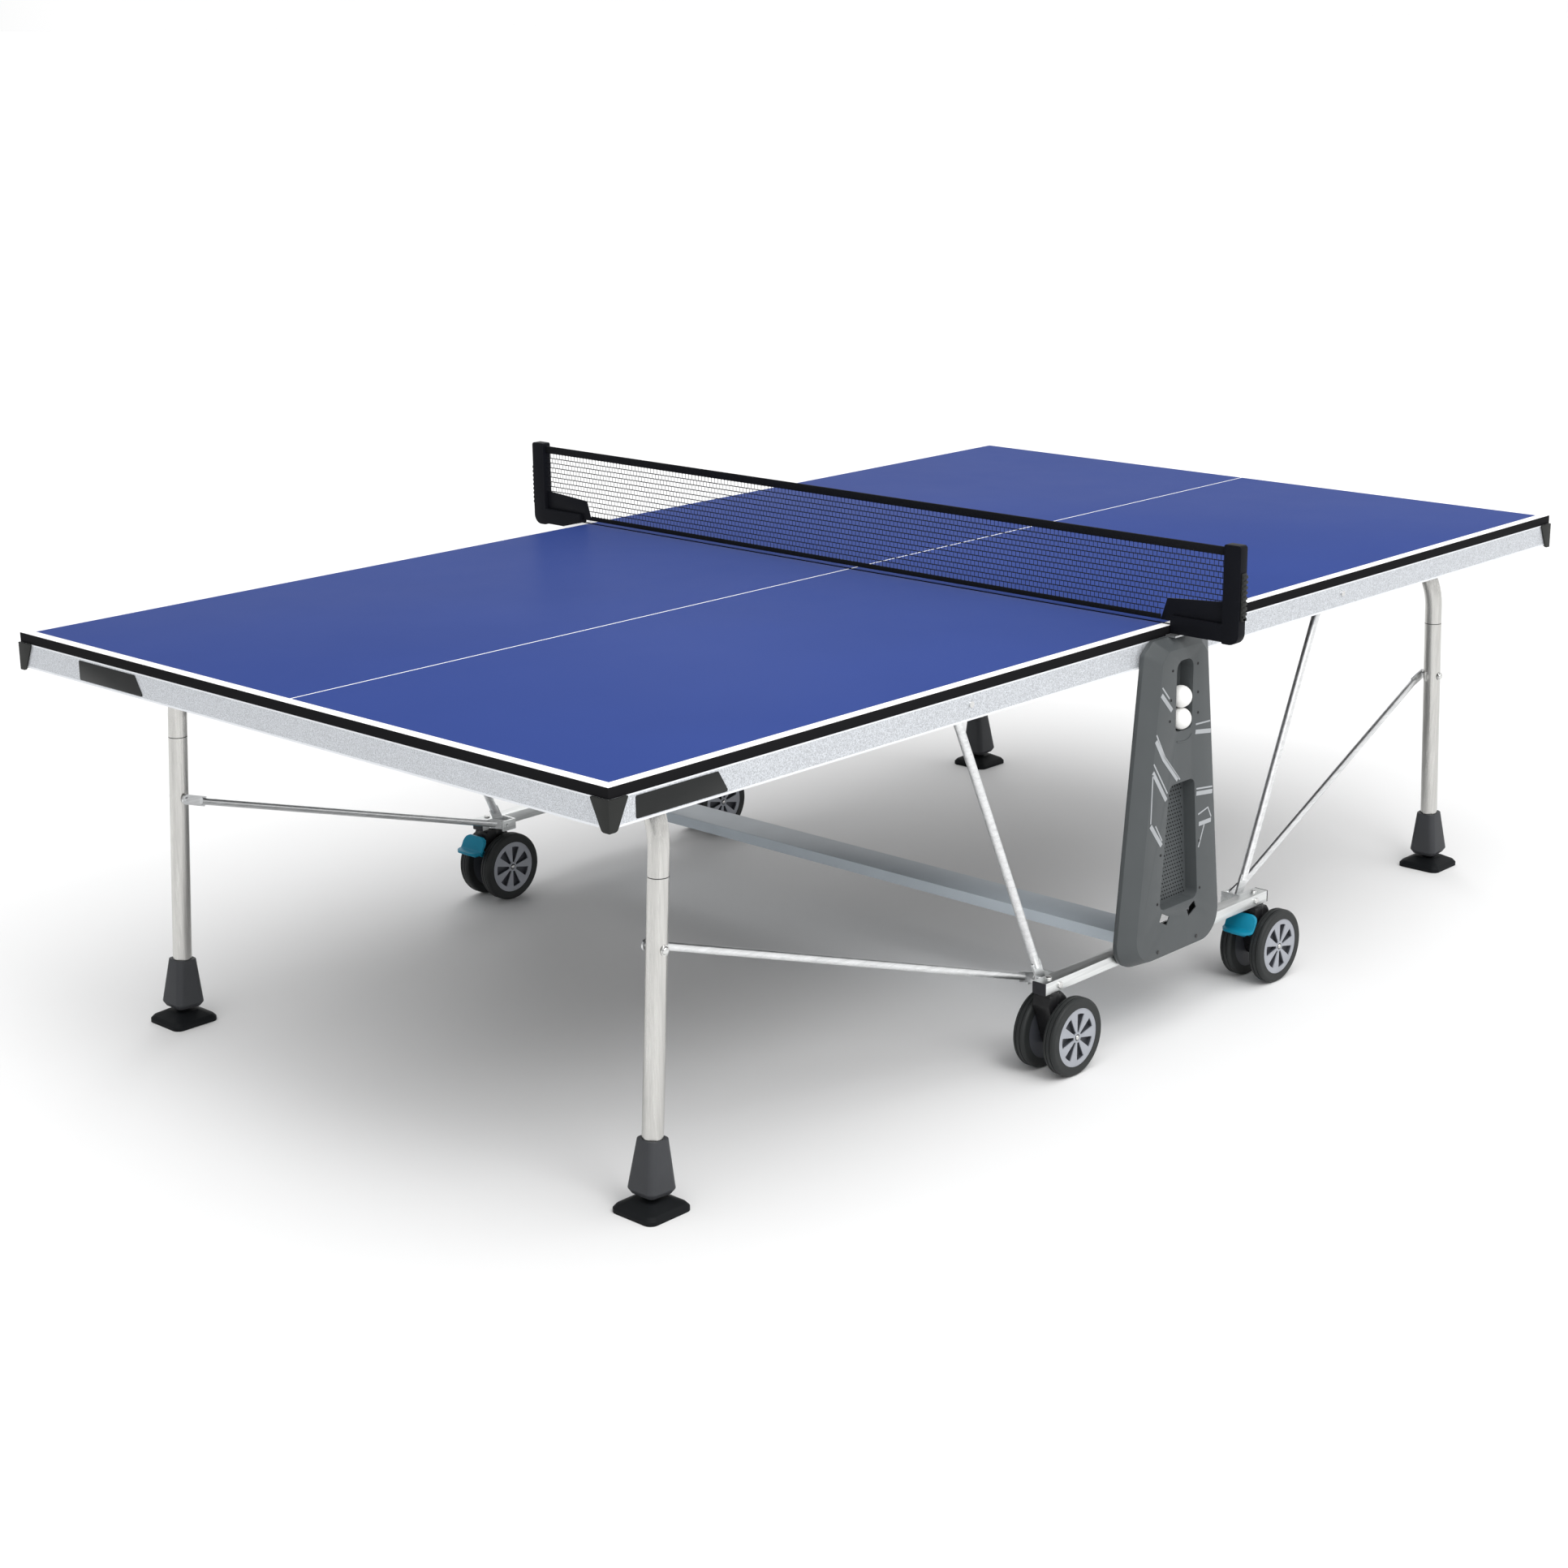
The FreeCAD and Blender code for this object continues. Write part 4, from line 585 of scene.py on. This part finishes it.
def soften(node: str, name: str, finish: object, radius: float, segments: int = 2,
           turn: float = 32.0) -> bpy.types.Object:
    """A copy of a CAD node with its sharp edges rounded, which stands for it.

    Args:
        node: the CAD node.
        name: the new piece's name.
        finish: its finish.
        radius: the edges' radius in metres.
        segments: how many faces make each rounding.
        turn: the least turn in degrees of an edge that is rounded.

    Returns:
        The new piece.
    """
    source = frame["nodes"][node]
    shape = bmesh.new()
    shape.from_mesh(source.data)
    bmesh.ops.remove_doubles(shape, verts=shape.verts, dist=MERGE_WITHIN)
    bmesh.ops.dissolve_limit(shape, angle_limit=FLAT_WITHIN, verts=shape.verts, edges=shape.edges)
    rounded(shape, sharp_edges(shape, turn), radius, segments)
    return finished(shape, name, finish, source["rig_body"], [node])


def bar(shape: bmesh.types.BMesh, middle: Vector, length: float, radius: float, axis: Axis = Axis.Z,
        sides: int = 24, tip: float | None = None) -> list[bmesh.types.BMVert]:
    """Adds a round or many-sided bar to a shape.

    Args:
        shape: the shape that takes it.
        middle: the bar's middle.
        length: its length.
        radius: its radius, at its lower end if it tapers.
        axis: the way it points.
        sides: how many sides it has.
        tip: the radius of its other end, where it tapers.

    Returns:
        The bar's vertices.
    """
    place = Matrix.Translation(middle) @ axis.turn()
    made = bmesh.ops.create_cone(shape, cap_ends=True, segments=sides, radius1=radius,
                                 radius2=radius if tip is None else tip, depth=length, matrix=place)
    return made["verts"]


def dome(shape: bmesh.types.BMesh, middle: Vector, radius: float, height: float) -> None:
    """Adds a flattened ball, whose half that stands out of a face looks like a domed head.

    Args:
        shape: the shape that takes it.
        middle: its middle.
        radius: its radius across Y.
        height: its radius along Y.
    """
    ball = bmesh.ops.create_uvsphere(shape, u_segments=20, v_segments=10, radius=radius)["verts"]
    bmesh.ops.scale(shape, verts=ball, vec=(1, height / radius, 1))
    bmesh.ops.translate(shape, verts=ball, vec=middle)


def side_sign(name: str) -> int:
    """-1 for a near-side name and +1 for a far-side one."""
    return -1 if name.endswith("near") else 1


def strip(shape: bmesh.types.BMesh, path: Sequence[tuple[float, float]], width: float, y: float,
          thick: float) -> None:
    """Adds a thin flat strip that lies in an XZ plane.

    Args:
        shape: the shape that takes it.
        path: X and Z of its centre line.
        width: its width.
        y: the Y that it is drawn out from.
        thick: how far it is drawn out along Y, with its sign.
    """
    points = [Vector((x, y, z)) for x, z in path]
    last = len(points) - 1
    grid = bmesh.ops.create_grid(shape, x_segments=last, y_segments=1, size=0.5)["verts"]
    for vert in grid:
        i = round((vert.co.x + 0.5) * last)
        along = (points[min(i + 1, last)] - points[max(i - 1, 0)]).normalized()
        vert.co = points[i] + Vector((-along.z, 0, along.x)) * (width * vert.co.y)
    faces = list({face for vert in grid for face in vert.link_faces})
    grown = bmesh.ops.extrude_face_region(shape, geom=faces)["geom"]
    raised = [g for g in grown if isinstance(g, bmesh.types.BMVert)]
    bmesh.ops.translate(shape, verts=raised, vec=Vector((0, thick, 0)))
    bmesh.ops.recalc_face_normals(shape, faces=shape.faces)


# The table

@dataclass
class Tabletop:
    """The two half boards with their aprons, corner caps, plates and hinge hardware."""

    board_edge: float = 0.6 * MM
    cap_edge: float = 2.0 * MM
    plate_edge: float = 0.5 * MM

    def build(self) -> None:
        """Dresses both halves and rounds what the hand meets."""
        for half in HALVES:
            soften(f"top_board_{half}", f"playing_board_{half}", BOARD, self.board_edge)
            dress(SILVER, f"apron_sides_{half}", f"apron_ends_{half}")
            soften(f"corner_caps_{half}", f"corner_shields_{half}", CAP_BLACK, self.cap_edge, 3)
            dress(CAP_BLACK, f"leg_clips_{half}")
            dress(BOLT_ZINC, f"pivot_pins_{half}")
            dress(NYLON, f"slide_runners_{half}")
        soften("badge_plates", "plain_plates", PLATE_BLACK, self.plate_edge)


@dataclass
class Legs:
    """The two leg frames with their sleeves, pads and stay bolts."""

    bolt_radius: float = 7.0 * MM
    bolt_height: float = 5.0 * MM
    washer: float = 1.5 * MM
    washer_radius: float = 8.75 * MM
    stay_end: float = 9.45 * MM
    foot_edge: float = 1.6 * MM
    pad_turn: float = 18.0

    def stay_bolts(self, half: str) -> None:
        """Adds the domed bolt heads and washers where the stays meet the legs.

        Args:
            half: the table half.
        """
        legs_low, legs_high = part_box(f"lower_legs_{half}")
        stay_low, stay_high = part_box(f"stays_{half}")
        sign = -1 if half == "a" else 1
        x = (stay_low.x if half == "a" else stay_high.x) - sign * self.stay_end
        z = stay_high.z - self.stay_end
        shape = bmesh.new()
        for side in (-1, 1):
            face = side * legs_high.y
            bar(shape, Vector((x, face + side * self.washer / 2, z)), self.washer, self.washer_radius,
                Axis.Y)
            dome(shape, Vector((x, face + side * self.washer, z)), self.bolt_radius, self.bolt_height)
        finished(shape, f"stay_bolts_{half}", BOLT_ZINC, f"legs_{half}")

    def build(self) -> None:
        """Dresses the leg frames and finishes their feet."""
        for half in HALVES:
            dress(LEG_ZINC, f"leg_frame_{half}", f"lower_legs_{half}")
            soften(f"foot_sleeves_{half}", f"leg_sleeves_{half}", SLEEVE_BLACK, self.foot_edge,
                   3)
            for side in SIDES:
                soften(f"foot_pad_{half}_{side}", f"floor_pad_{half}_{side}", PAD_BLACK, self.foot_edge,
                       3, self.pad_turn)
            dress(BAR_ZINC, f"struts_{half}", f"stays_{half}")
            self.stay_bolts(half)


@dataclass
class Base:
    """The rolling base: rails, beam, uprights and their fasteners."""

    rail_edge: float = 2.2 * MM
    rail_turn: float = 60.0
    plug_edge: float = 0.8 * MM
    bolt_edge: float = 1.8 * MM

    def build(self) -> None:
        """Dresses the base and rounds its tubes."""
        for side in SIDES:
            soften(f"base_rail_{side}", f"rail_{side}", RAIL_ZINC, self.rail_edge, 3,
                   self.rail_turn)
            dress(PLATE_ZINC, f"upright_{side}")
        soften("cross_beam", "folded_beam", BEAM_PAINTED_LIGHT_GREY, self.rail_edge, 3)
        soften("rail_plugs", "rail_end_plugs", PLUG_BLACK, self.plug_edge)
        soften("base_fasteners", "domed_bolts", BASE_BOLTS, self.bolt_edge, 3)


@dataclass
class SideCover:
    """A moulded cover with its stripes, grip studs and screws.

    Paths and places on its face are X from its middle and the rise above its foot, in millimetres.
    """

    edge: float = 1.8 * MM
    edge_turn: float = 28.0
    stud_pitch: float = 7.4 * MM
    stud_radius: float = 1.5 * MM
    stud_height: float = 0.8 * MM
    pocket_low: float = 95.5 * MM
    pocket_high: float = 326.0 * MM
    pocket_low_half: float = 59.0 * MM
    pocket_high_half: float = 38.0 * MM
    pocket_floor: float = 3.5 * MM
    stripe_thick: float = 0.25 * MM
    stripe_wide: float = 8.0 * MM
    stripe_thin: float = 3.0 * MM
    wide_stripes: tuple[tuple[tuple[float, float], ...], ...] = (
        ((-70, 499), (-37.5, 465)), ((-83, 418), (-58.5, 380), (-14, 333)), ((-90, 362), (-47.6, 302)),
        ((-92.7, 264), (-58, 220)), ((37, 411), (85, 404)), ((46, 294), (96, 288)), ((57, 234), (95, 234)),
    )
    thin_stripes: tuple[tuple[tuple[float, float], ...], ...] = (
        ((-68, 512), (-46, 488)), ((-82, 429), (-55, 383), (-7, 332)), ((-88, 377), (-44.5, 314)),
        ((-90, 358), (-92.7, 268)), ((-78, 261), (-57, 229)), ((37.6, 425), (82, 423)),
        ((45.6, 303), (95.4, 297)), ((54, 253), (84, 260), (95, 240)), ((74, 230), (57.6, 190)),
    )
    screw_places: tuple[tuple[float, float], ...] = (
        (38, 537), (43, 446), (59.5, 202), (65.5, 111), (41, 484),
    )
    screw_height: float = 0.4 * MM
    screw_radius: float = 2.6 * MM
    screw_rim: float = 0.8 * MM
    screw_socket: float = 0.3 * MM
    lip_width: float = 2.2 * MM
    lip_height: float = 0.9 * MM
    lip_path: tuple[tuple[float, float], ...] = ((-20, 404), (-8, 401.5), (6, 401), (17, 404), (26, 410))

    def pocket_half(self, rise: float) -> float:
        """Half width of the pocket.

        Args:
            rise: the height above the cover's bottom.

        Returns:
            The half width in metres.
        """
        share = (rise - self.pocket_low) / (self.pocket_high - self.pocket_low)
        return self.pocket_low_half + share * (self.pocket_high_half - self.pocket_low_half)

    def studs(self, side: str) -> None:
        """Covers the pocket's back wall with small grip studs in staggered rows.

        Args:
            side: the side of the table.
        """
        low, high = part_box(f"side_panel_{side}")
        sign = side_sign(side)
        back = (low.y if sign > 0 else -high.y) + self.pocket_floor
        shape = bmesh.new()
        rows = int((self.pocket_high - self.pocket_low) / self.stud_pitch) - 1
        for row in range(rows):
            rise = self.pocket_low + self.stud_pitch * (row + 1)
            reach = self.pocket_half(rise) - self.stud_pitch * 0.8
            count = int(reach / self.stud_pitch)
            shift = 0.5 * self.stud_pitch if row % 2 else 0.0
            for column in range(-count, count + 1):
                x = column * self.stud_pitch + shift
                if abs(x) <= reach:
                    bar(shape, Vector((x, sign * (back + self.stud_height / 2), low.z + rise)),
                        self.stud_height, self.stud_radius, Axis.Y, 8)
        finished(shape, f"grip_studs_{side}", STUD_BLACK, "base")

    def stripes(self, side: str) -> None:
        """Lays plain wide and thin stripes across the cover's face, each side of the pocket.

        Args:
            side: the side of the table.
        """
        low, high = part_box(f"side_panel_{side}")
        sign = side_sign(side)
        face = high.y if sign > 0 else low.y
        shape = bmesh.new()
        for width, paths in ((self.stripe_wide, self.wide_stripes), (self.stripe_thin, self.thin_stripes)):
            for path in paths:
                strip(shape, [(x * MM, low.z + rise * MM) for x, rise in path], width, face,
                      sign * self.stripe_thick)
        finished(shape, f"cover_stripes_{side}", STRIPE_GREY, "base")

    def screws(self, side: str) -> None:
        """Adds the small dark screws that hold the cover's inner mouldings.

        Args:
            side: the side of the table.
        """
        low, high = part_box(f"side_panel_{side}")
        sign = side_sign(side)
        face = high.y if sign > 0 else low.y
        shape = bmesh.new()
        for x, rise in self.screw_places:
            for turn in (-1, 1):
                middle = Vector((turn * x * MM, face + sign * self.screw_height / 2, low.z + rise * MM))
                head = bar(shape, middle, self.screw_height, self.screw_radius, Axis.Y, 14)
                sides = {f for v in head for f in v.link_faces}
                cap = max(sides, key=lambda f: sign * f.calc_center_median().y)
                bmesh.ops.inset_region(shape, faces=[cap], thickness=self.screw_rim, depth=0.0)
                bmesh.ops.translate(shape, verts=cap.verts, vec=(0, -sign * self.screw_socket, 0))
        finished(shape, f"cover_screws_{side}", STUD_BLACK, "base")

    def slot_lip(self, side: str) -> None:
        """Adds the raised lip under the ball slot.

        Args:
            side: the side of the table.
        """
        low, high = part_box(f"side_panel_{side}")
        sign = side_sign(side)
        face = high.y if sign > 0 else low.y
        shape = bmesh.new()
        strip(shape, [(x * MM, low.z + rise * MM) for x, rise in self.lip_path], self.lip_width, face,
              sign * self.lip_height)
        finished(shape, f"slot_lip_{side}", PANEL_CHARCOAL, "base")

    def build(self) -> None:
        """Builds both covers' details."""
        for side in SIDES:
            soften(f"side_panel_{side}", f"side_cover_{side}", PANEL_CHARCOAL, self.edge, 3,
                   self.edge_turn)
            self.studs(side)
            self.stripes(side)
            self.screws(side)
            self.slot_lip(side)
        dress(BALL_WHITE, "balls")


@dataclass
class Net:
    """The net with its tape, band, corner plates, posts and adjusters."""

    row_pitch: float = 10.0 * MM
    column_pitch: float = 9.3 * MM
    row_width: float = 1.7 * MM
    column_width: float = 1.3 * MM
    cord_depth: float = 0.6
    knot: float = 1.6 * MM
    stated_share: float = 0.55
    plate_slope: float = 11 * MM
    knob: float = 5.0 * MM
    knob_edge: float = 0.6 * MM
    knob_turn: float = 60.0
    tape_edge: float = 1.2 * MM
    plate_edge: float = 0.8 * MM
    post_edge: float = 2.2 * MM
    slider_edge: float = 0.5 * MM

    def column(self, heights: Sequence[float], shift: int) -> bpy.types.Mesh:
        """Models one column of cords between the rows, with a knot at each end.

        Args:
            heights: Z of every row, with the net's bottom and top.
            shift: 0 for the column that fills the even gaps, 1 for the odd ones.

        Returns:
            The column's mesh, standing at Y = 0.
        """
        shape = bmesh.new()
        for i in range(shift, len(heights) - 1, 2):
            low, high = heights[i], heights[i + 1]
            bar(shape, Vector((0, 0, (low + high) / 2)), high - low, self.column_width / 2, Axis.Z, 4)
            for z in (low, high):
                knot = bmesh.ops.create_uvsphere(shape, u_segments=4, v_segments=2, radius=self.knot)["verts"]
                bmesh.ops.translate(shape, verts=knot, vec=(0, 0, z))
        mesh = bpy.data.meshes.new("net_column")
        shape.to_mesh(mesh)
        shape.free()
        return mesh

    def mesh(self) -> None:
        """Knots the net from rows of cord and staggered columns between them."""
        low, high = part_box("net_mesh")
        plate_low, plate_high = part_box("net_corner_plates")
        inner = min(abs(v.co.y) for v in frame["nodes"]["net_corner_plates"].data.vertices)
        slope = self.plate_slope / (plate_high.z - plate_low.z)
        shape = bmesh.new()
        rows = round((high.z - low.z) / self.row_pitch)
        pitch = (high.z - low.z) / rows
        heights = [low.z + pitch * i for i in range(rows + 1)]
        for z in heights[1:-1]:
            reach = high.y if z > plate_high.z else inner + slope * (z - plate_low.z)
            bar(shape, Vector((0, 0, z)), 2 * reach, self.row_width / 2, Axis.Y, 4)
        inside = [z for z in heights if z > plate_high.z - pitch]
        full = [self.column(heights, shift) for shift in (0, 1)]
        short = [self.column(inside, (shift + len(heights) - len(inside)) % 2) for shift in (0, 1)]
        count = int(high.y / self.column_pitch * 2)
        for column in range(-count, count + 1):
            y = column * self.column_pitch / 2
            kind = (full if abs(y) < inner - self.knot else short)[column % 2]
            kind.transform(Matrix.Translation((0, y, 0)))
            shape.from_mesh(kind)
            kind.transform(Matrix.Translation((0, -y, 0)))
        for mesh in full + short:
            bpy.data.meshes.remove(mesh)
        bmesh.ops.scale(shape, verts=shape.verts, vec=(self.cord_depth, 1, 1))
        piece = finished(shape, "net", CORD, "base", ["net_mesh"])

    def knobs(self, side: str) -> None:
        """Adds the small round knob at the foot of an adjuster.

        Args:
            side: the side of the table.
        """
        low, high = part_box(f"net_adjuster_{side}")
        shape = bmesh.new()
        bar(shape, Vector(((low.x + high.x) / 2, (low.y + high.y) / 2, low.z + self.knob)),
            high.y - low.y, self.knob, Axis.Y, 24)
        rounded(shape, sharp_edges(shape, self.knob_turn), self.knob_edge)
        finished(shape, f"adjuster_knob_{side}", CAP_BLACK, f"adjuster_{side}")

    def build(self) -> None:
        """Builds the net and dresses its holders."""
        self.mesh()
        soften("net_bindings", "net_tape_and_band", WEBBING, self.tape_edge, 3)
        soften("net_corner_plates", "corner_plates", POST_BLACK, self.plate_edge)
        for side in SIDES:
            soften(f"net_post_{side}", f"post_{side}", POST_BLACK, self.post_edge, 3)
            soften(f"net_adjuster_{side}", f"adjuster_{side}", CAP_BLACK, self.slider_edge)
            self.knobs(side)


@dataclass
class Casters:
    """Four twin-wheel casters, two of them with brake levers."""

    fork_edge: float = 1.6 * MM
    pedal_edge: float = 1.8 * MM
    pedal_turn: float = 20.0
    cap_radius: float = 4.5 * MM
    cap_height: float = 2.4 * MM

    def axle_caps(self, corner: str) -> None:
        """Presses a domed cap on each end of the axle.

        Args:
            corner: the caster's corner of the base.
        """
        low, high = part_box(f"caster_hubs_{corner}")
        x, z = (low.x + high.x) / 2, (low.z + high.z) / 2
        shape = bmesh.new()
        for y in (low.y, high.y):
            dome(shape, Vector((x, y, z)), self.cap_radius, self.cap_height)
        finished(shape, f"axle_caps_{corner}", BOLT_ZINC, f"wheels_{corner}")

    def build(self) -> None:
        """Dresses the casters and finishes their levers."""
        for corner in CORNERS:
            soften(f"caster_fork_{corner}", f"caster_housing_{corner}", FORK_BLACK, self.fork_edge,
                   3)
            dress(HUB, f"caster_hubs_{corner}")
            dress(TYRE_BLACK, f"caster_tyres_{corner}")
            self.axle_caps(corner)
        for corner in ("a_far", "b_near"):
            soften(f"brake_lever_{corner}", f"brake_pedal_{corner}", TEAL, self.pedal_edge, 3,
                   self.pedal_turn)


# The studio

@dataclass(frozen=True)
class Viewpoint:
    """Where the camera stands and how it is turned."""

    place: tuple[float, float, float] = (-3.8995, -3.4839, 1.8327)
    azimuth: float = -46.75
    pitch: float = 16.1
    roll: float = -0.67
    lens: float = 62.6
    sensor: float = 36.0

    def build(self) -> None:
        """Sets the camera up, with a plain lens and no blur."""
        data = bpy.data.cameras.new("viewpoint")
        data.lens = self.lens
        data.sensor_width = self.sensor
        data.clip_end = 200.0
        a, e, r = (math.radians(v) for v in (self.azimuth, self.pitch, self.roll))
        back = Vector((math.sin(a) * math.cos(e), -math.cos(a) * math.cos(e), math.sin(e)))
        right = Vector((0, 0, 1)).cross(back).normalized()
        up = back.cross(right)
        turned_right = math.cos(r) * right + math.sin(r) * up
        turned_up = -math.sin(r) * right + math.cos(r) * up
        camera = bpy.data.objects.new("viewpoint", data)
        axes = Matrix((turned_right, turned_up, back)).transposed().to_4x4()
        camera.matrix_world = Matrix.Translation(Vector(self.place)) @ axes
        bpy.context.scene.collection.objects.link(camera)
        bpy.context.scene.camera = camera


@dataclass(frozen=True)
class SoftBox:
    """One large area light."""

    name: str
    place: tuple[float, float, float]
    size: float
    power: float
    target: tuple[float, float, float] = (0.0, 0.0, 0.5)

    def build(self) -> None:
        """Hangs the light so that it faces the table."""
        data = bpy.data.lights.new(self.name, "AREA")
        data.shape = "DISK"
        data.size = self.size
        data.energy = self.power
        lamp = bpy.data.objects.new(self.name, data)
        lamp.location = self.place
        towards = Vector(self.target) - Vector(self.place)
        lamp.rotation_euler = towards.to_track_quat("-Z", "Y").to_euler()
        bpy.context.scene.collection.objects.link(lamp)


@dataclass(frozen=True)
class Studio:
    """A plain pale floor under soft light."""

    floor: Colour = (0.82, 0.82, 0.82)
    half_size: float = 400.0
    open_side: Colour = (1.12, 1.12, 1.12)
    shaded_side: Colour = (0.22, 0.23, 0.24)
    zenith: Colour = (1.0, 1.0, 1.0)
    strength: float = 0.9
    shaded_way: tuple[float, float, float] = (-0.75, 0.66, 0.0)
    shade_from: float = 0.15
    shade_to: float = 0.75
    sun: float = 1.5
    sun_angle: float = 70.0
    sun_tilt: tuple[float, float] = (22.0, -14.0)
    lights: tuple[SoftBox, ...] = (
        SoftBox("key", (-1.5, -4.0, 4.5), 2.0, 70.0),
        SoftBox("rim", (4.0, 4.0, 4.0), 2.0, 30.0),
    )

    def sky(self) -> None:
        """Lights the room: bright overhead and to the near side, dimmer past the end of the table."""
        world = bpy.data.worlds.new("room")
        world.use_nodes = True
        tree = world.node_tree
        backdrop = next(n for n in tree.nodes if n.type == "BACKGROUND")
        place = tree.nodes.new("ShaderNodeTexCoord").outputs["Generated"]
        dot = tree.nodes.new("ShaderNodeVectorMath")
        dot.operation = "DOT_PRODUCT"
        dot.inputs[1].default_value = self.shaded_way
        tree.links.new(place, dot.inputs[0])
        shade = tree.nodes.new("ShaderNodeMapRange")
        shade.inputs["From Min"].default_value = self.shade_from
        shade.inputs["From Max"].default_value = self.shade_to
        tree.links.new(dot.outputs["Value"], shade.inputs["Value"])
        sides = tree.nodes.new("ShaderNodeMix")
        sides.data_type = "RGBA"
        sides.inputs[6].default_value = (*self.open_side, 1.0)
        sides.inputs[7].default_value = (*self.shaded_side, 1.0)
        tree.links.new(shade.outputs[0], sides.inputs[0])
        height = tree.nodes.new("ShaderNodeSeparateXYZ")
        tree.links.new(place, height.inputs[0])
        ramp = tree.nodes.new("ShaderNodeMix")
        ramp.data_type = "RGBA"
        ramp.inputs[7].default_value = (*self.zenith, 1.0)
        tree.links.new(sides.outputs[2], ramp.inputs[6])
        tree.links.new(height.outputs[2], ramp.inputs[0])
        tree.links.new(ramp.outputs[2], backdrop.inputs[0])
        backdrop.inputs[1].default_value = self.strength
        bpy.context.scene.world = world

    def daylight(self) -> None:
        """Adds one wide sun from overhead, so that the floor is evenly lit."""
        data = bpy.data.lights.new("daylight", "SUN")
        data.energy = self.sun
        data.angle = math.radians(self.sun_angle)
        lamp = bpy.data.objects.new("daylight", data)
        lamp.rotation_euler = (math.radians(self.sun_tilt[0]), math.radians(self.sun_tilt[1]), 0)
        bpy.context.scene.collection.objects.link(lamp)

    def build(self) -> None:
        """Lays the floor and hangs the lights."""
        shape = bmesh.new()
        bmesh.ops.create_grid(shape, x_segments=1, y_segments=1, size=self.half_size)
        mesh = bpy.data.meshes.new("floor")
        shape.to_mesh(mesh)
        shape.free()
        mix = Recipe("floor", Roughness=0.8)
        dusty = mix.noise(0.8, 3.0)
        pale = mix.mixed(dusty, tinted(self.floor, 0.985), tinted(self.floor, 1.015))
        mesh.materials.append(mix.done(pale))
        floor = bpy.data.objects.new("floor", mesh)
        bpy.context.scene.collection.objects.link(floor)
        self.sky()
        self.daylight()
        for light in self.lights:
            light.build()
        bpy.context.scene.view_settings.view_transform = "Standard"


def main() -> None:
    """Builds the camera, the table and the studio in order."""
    Viewpoint().build()
    for part in (Tabletop(), Legs(), Base(), SideCover(), Net(), Casters()):
        part.build()
        log.info("built %s", type(part).__name__)
    Studio().build()


if __name__ == "__main__":
    main()
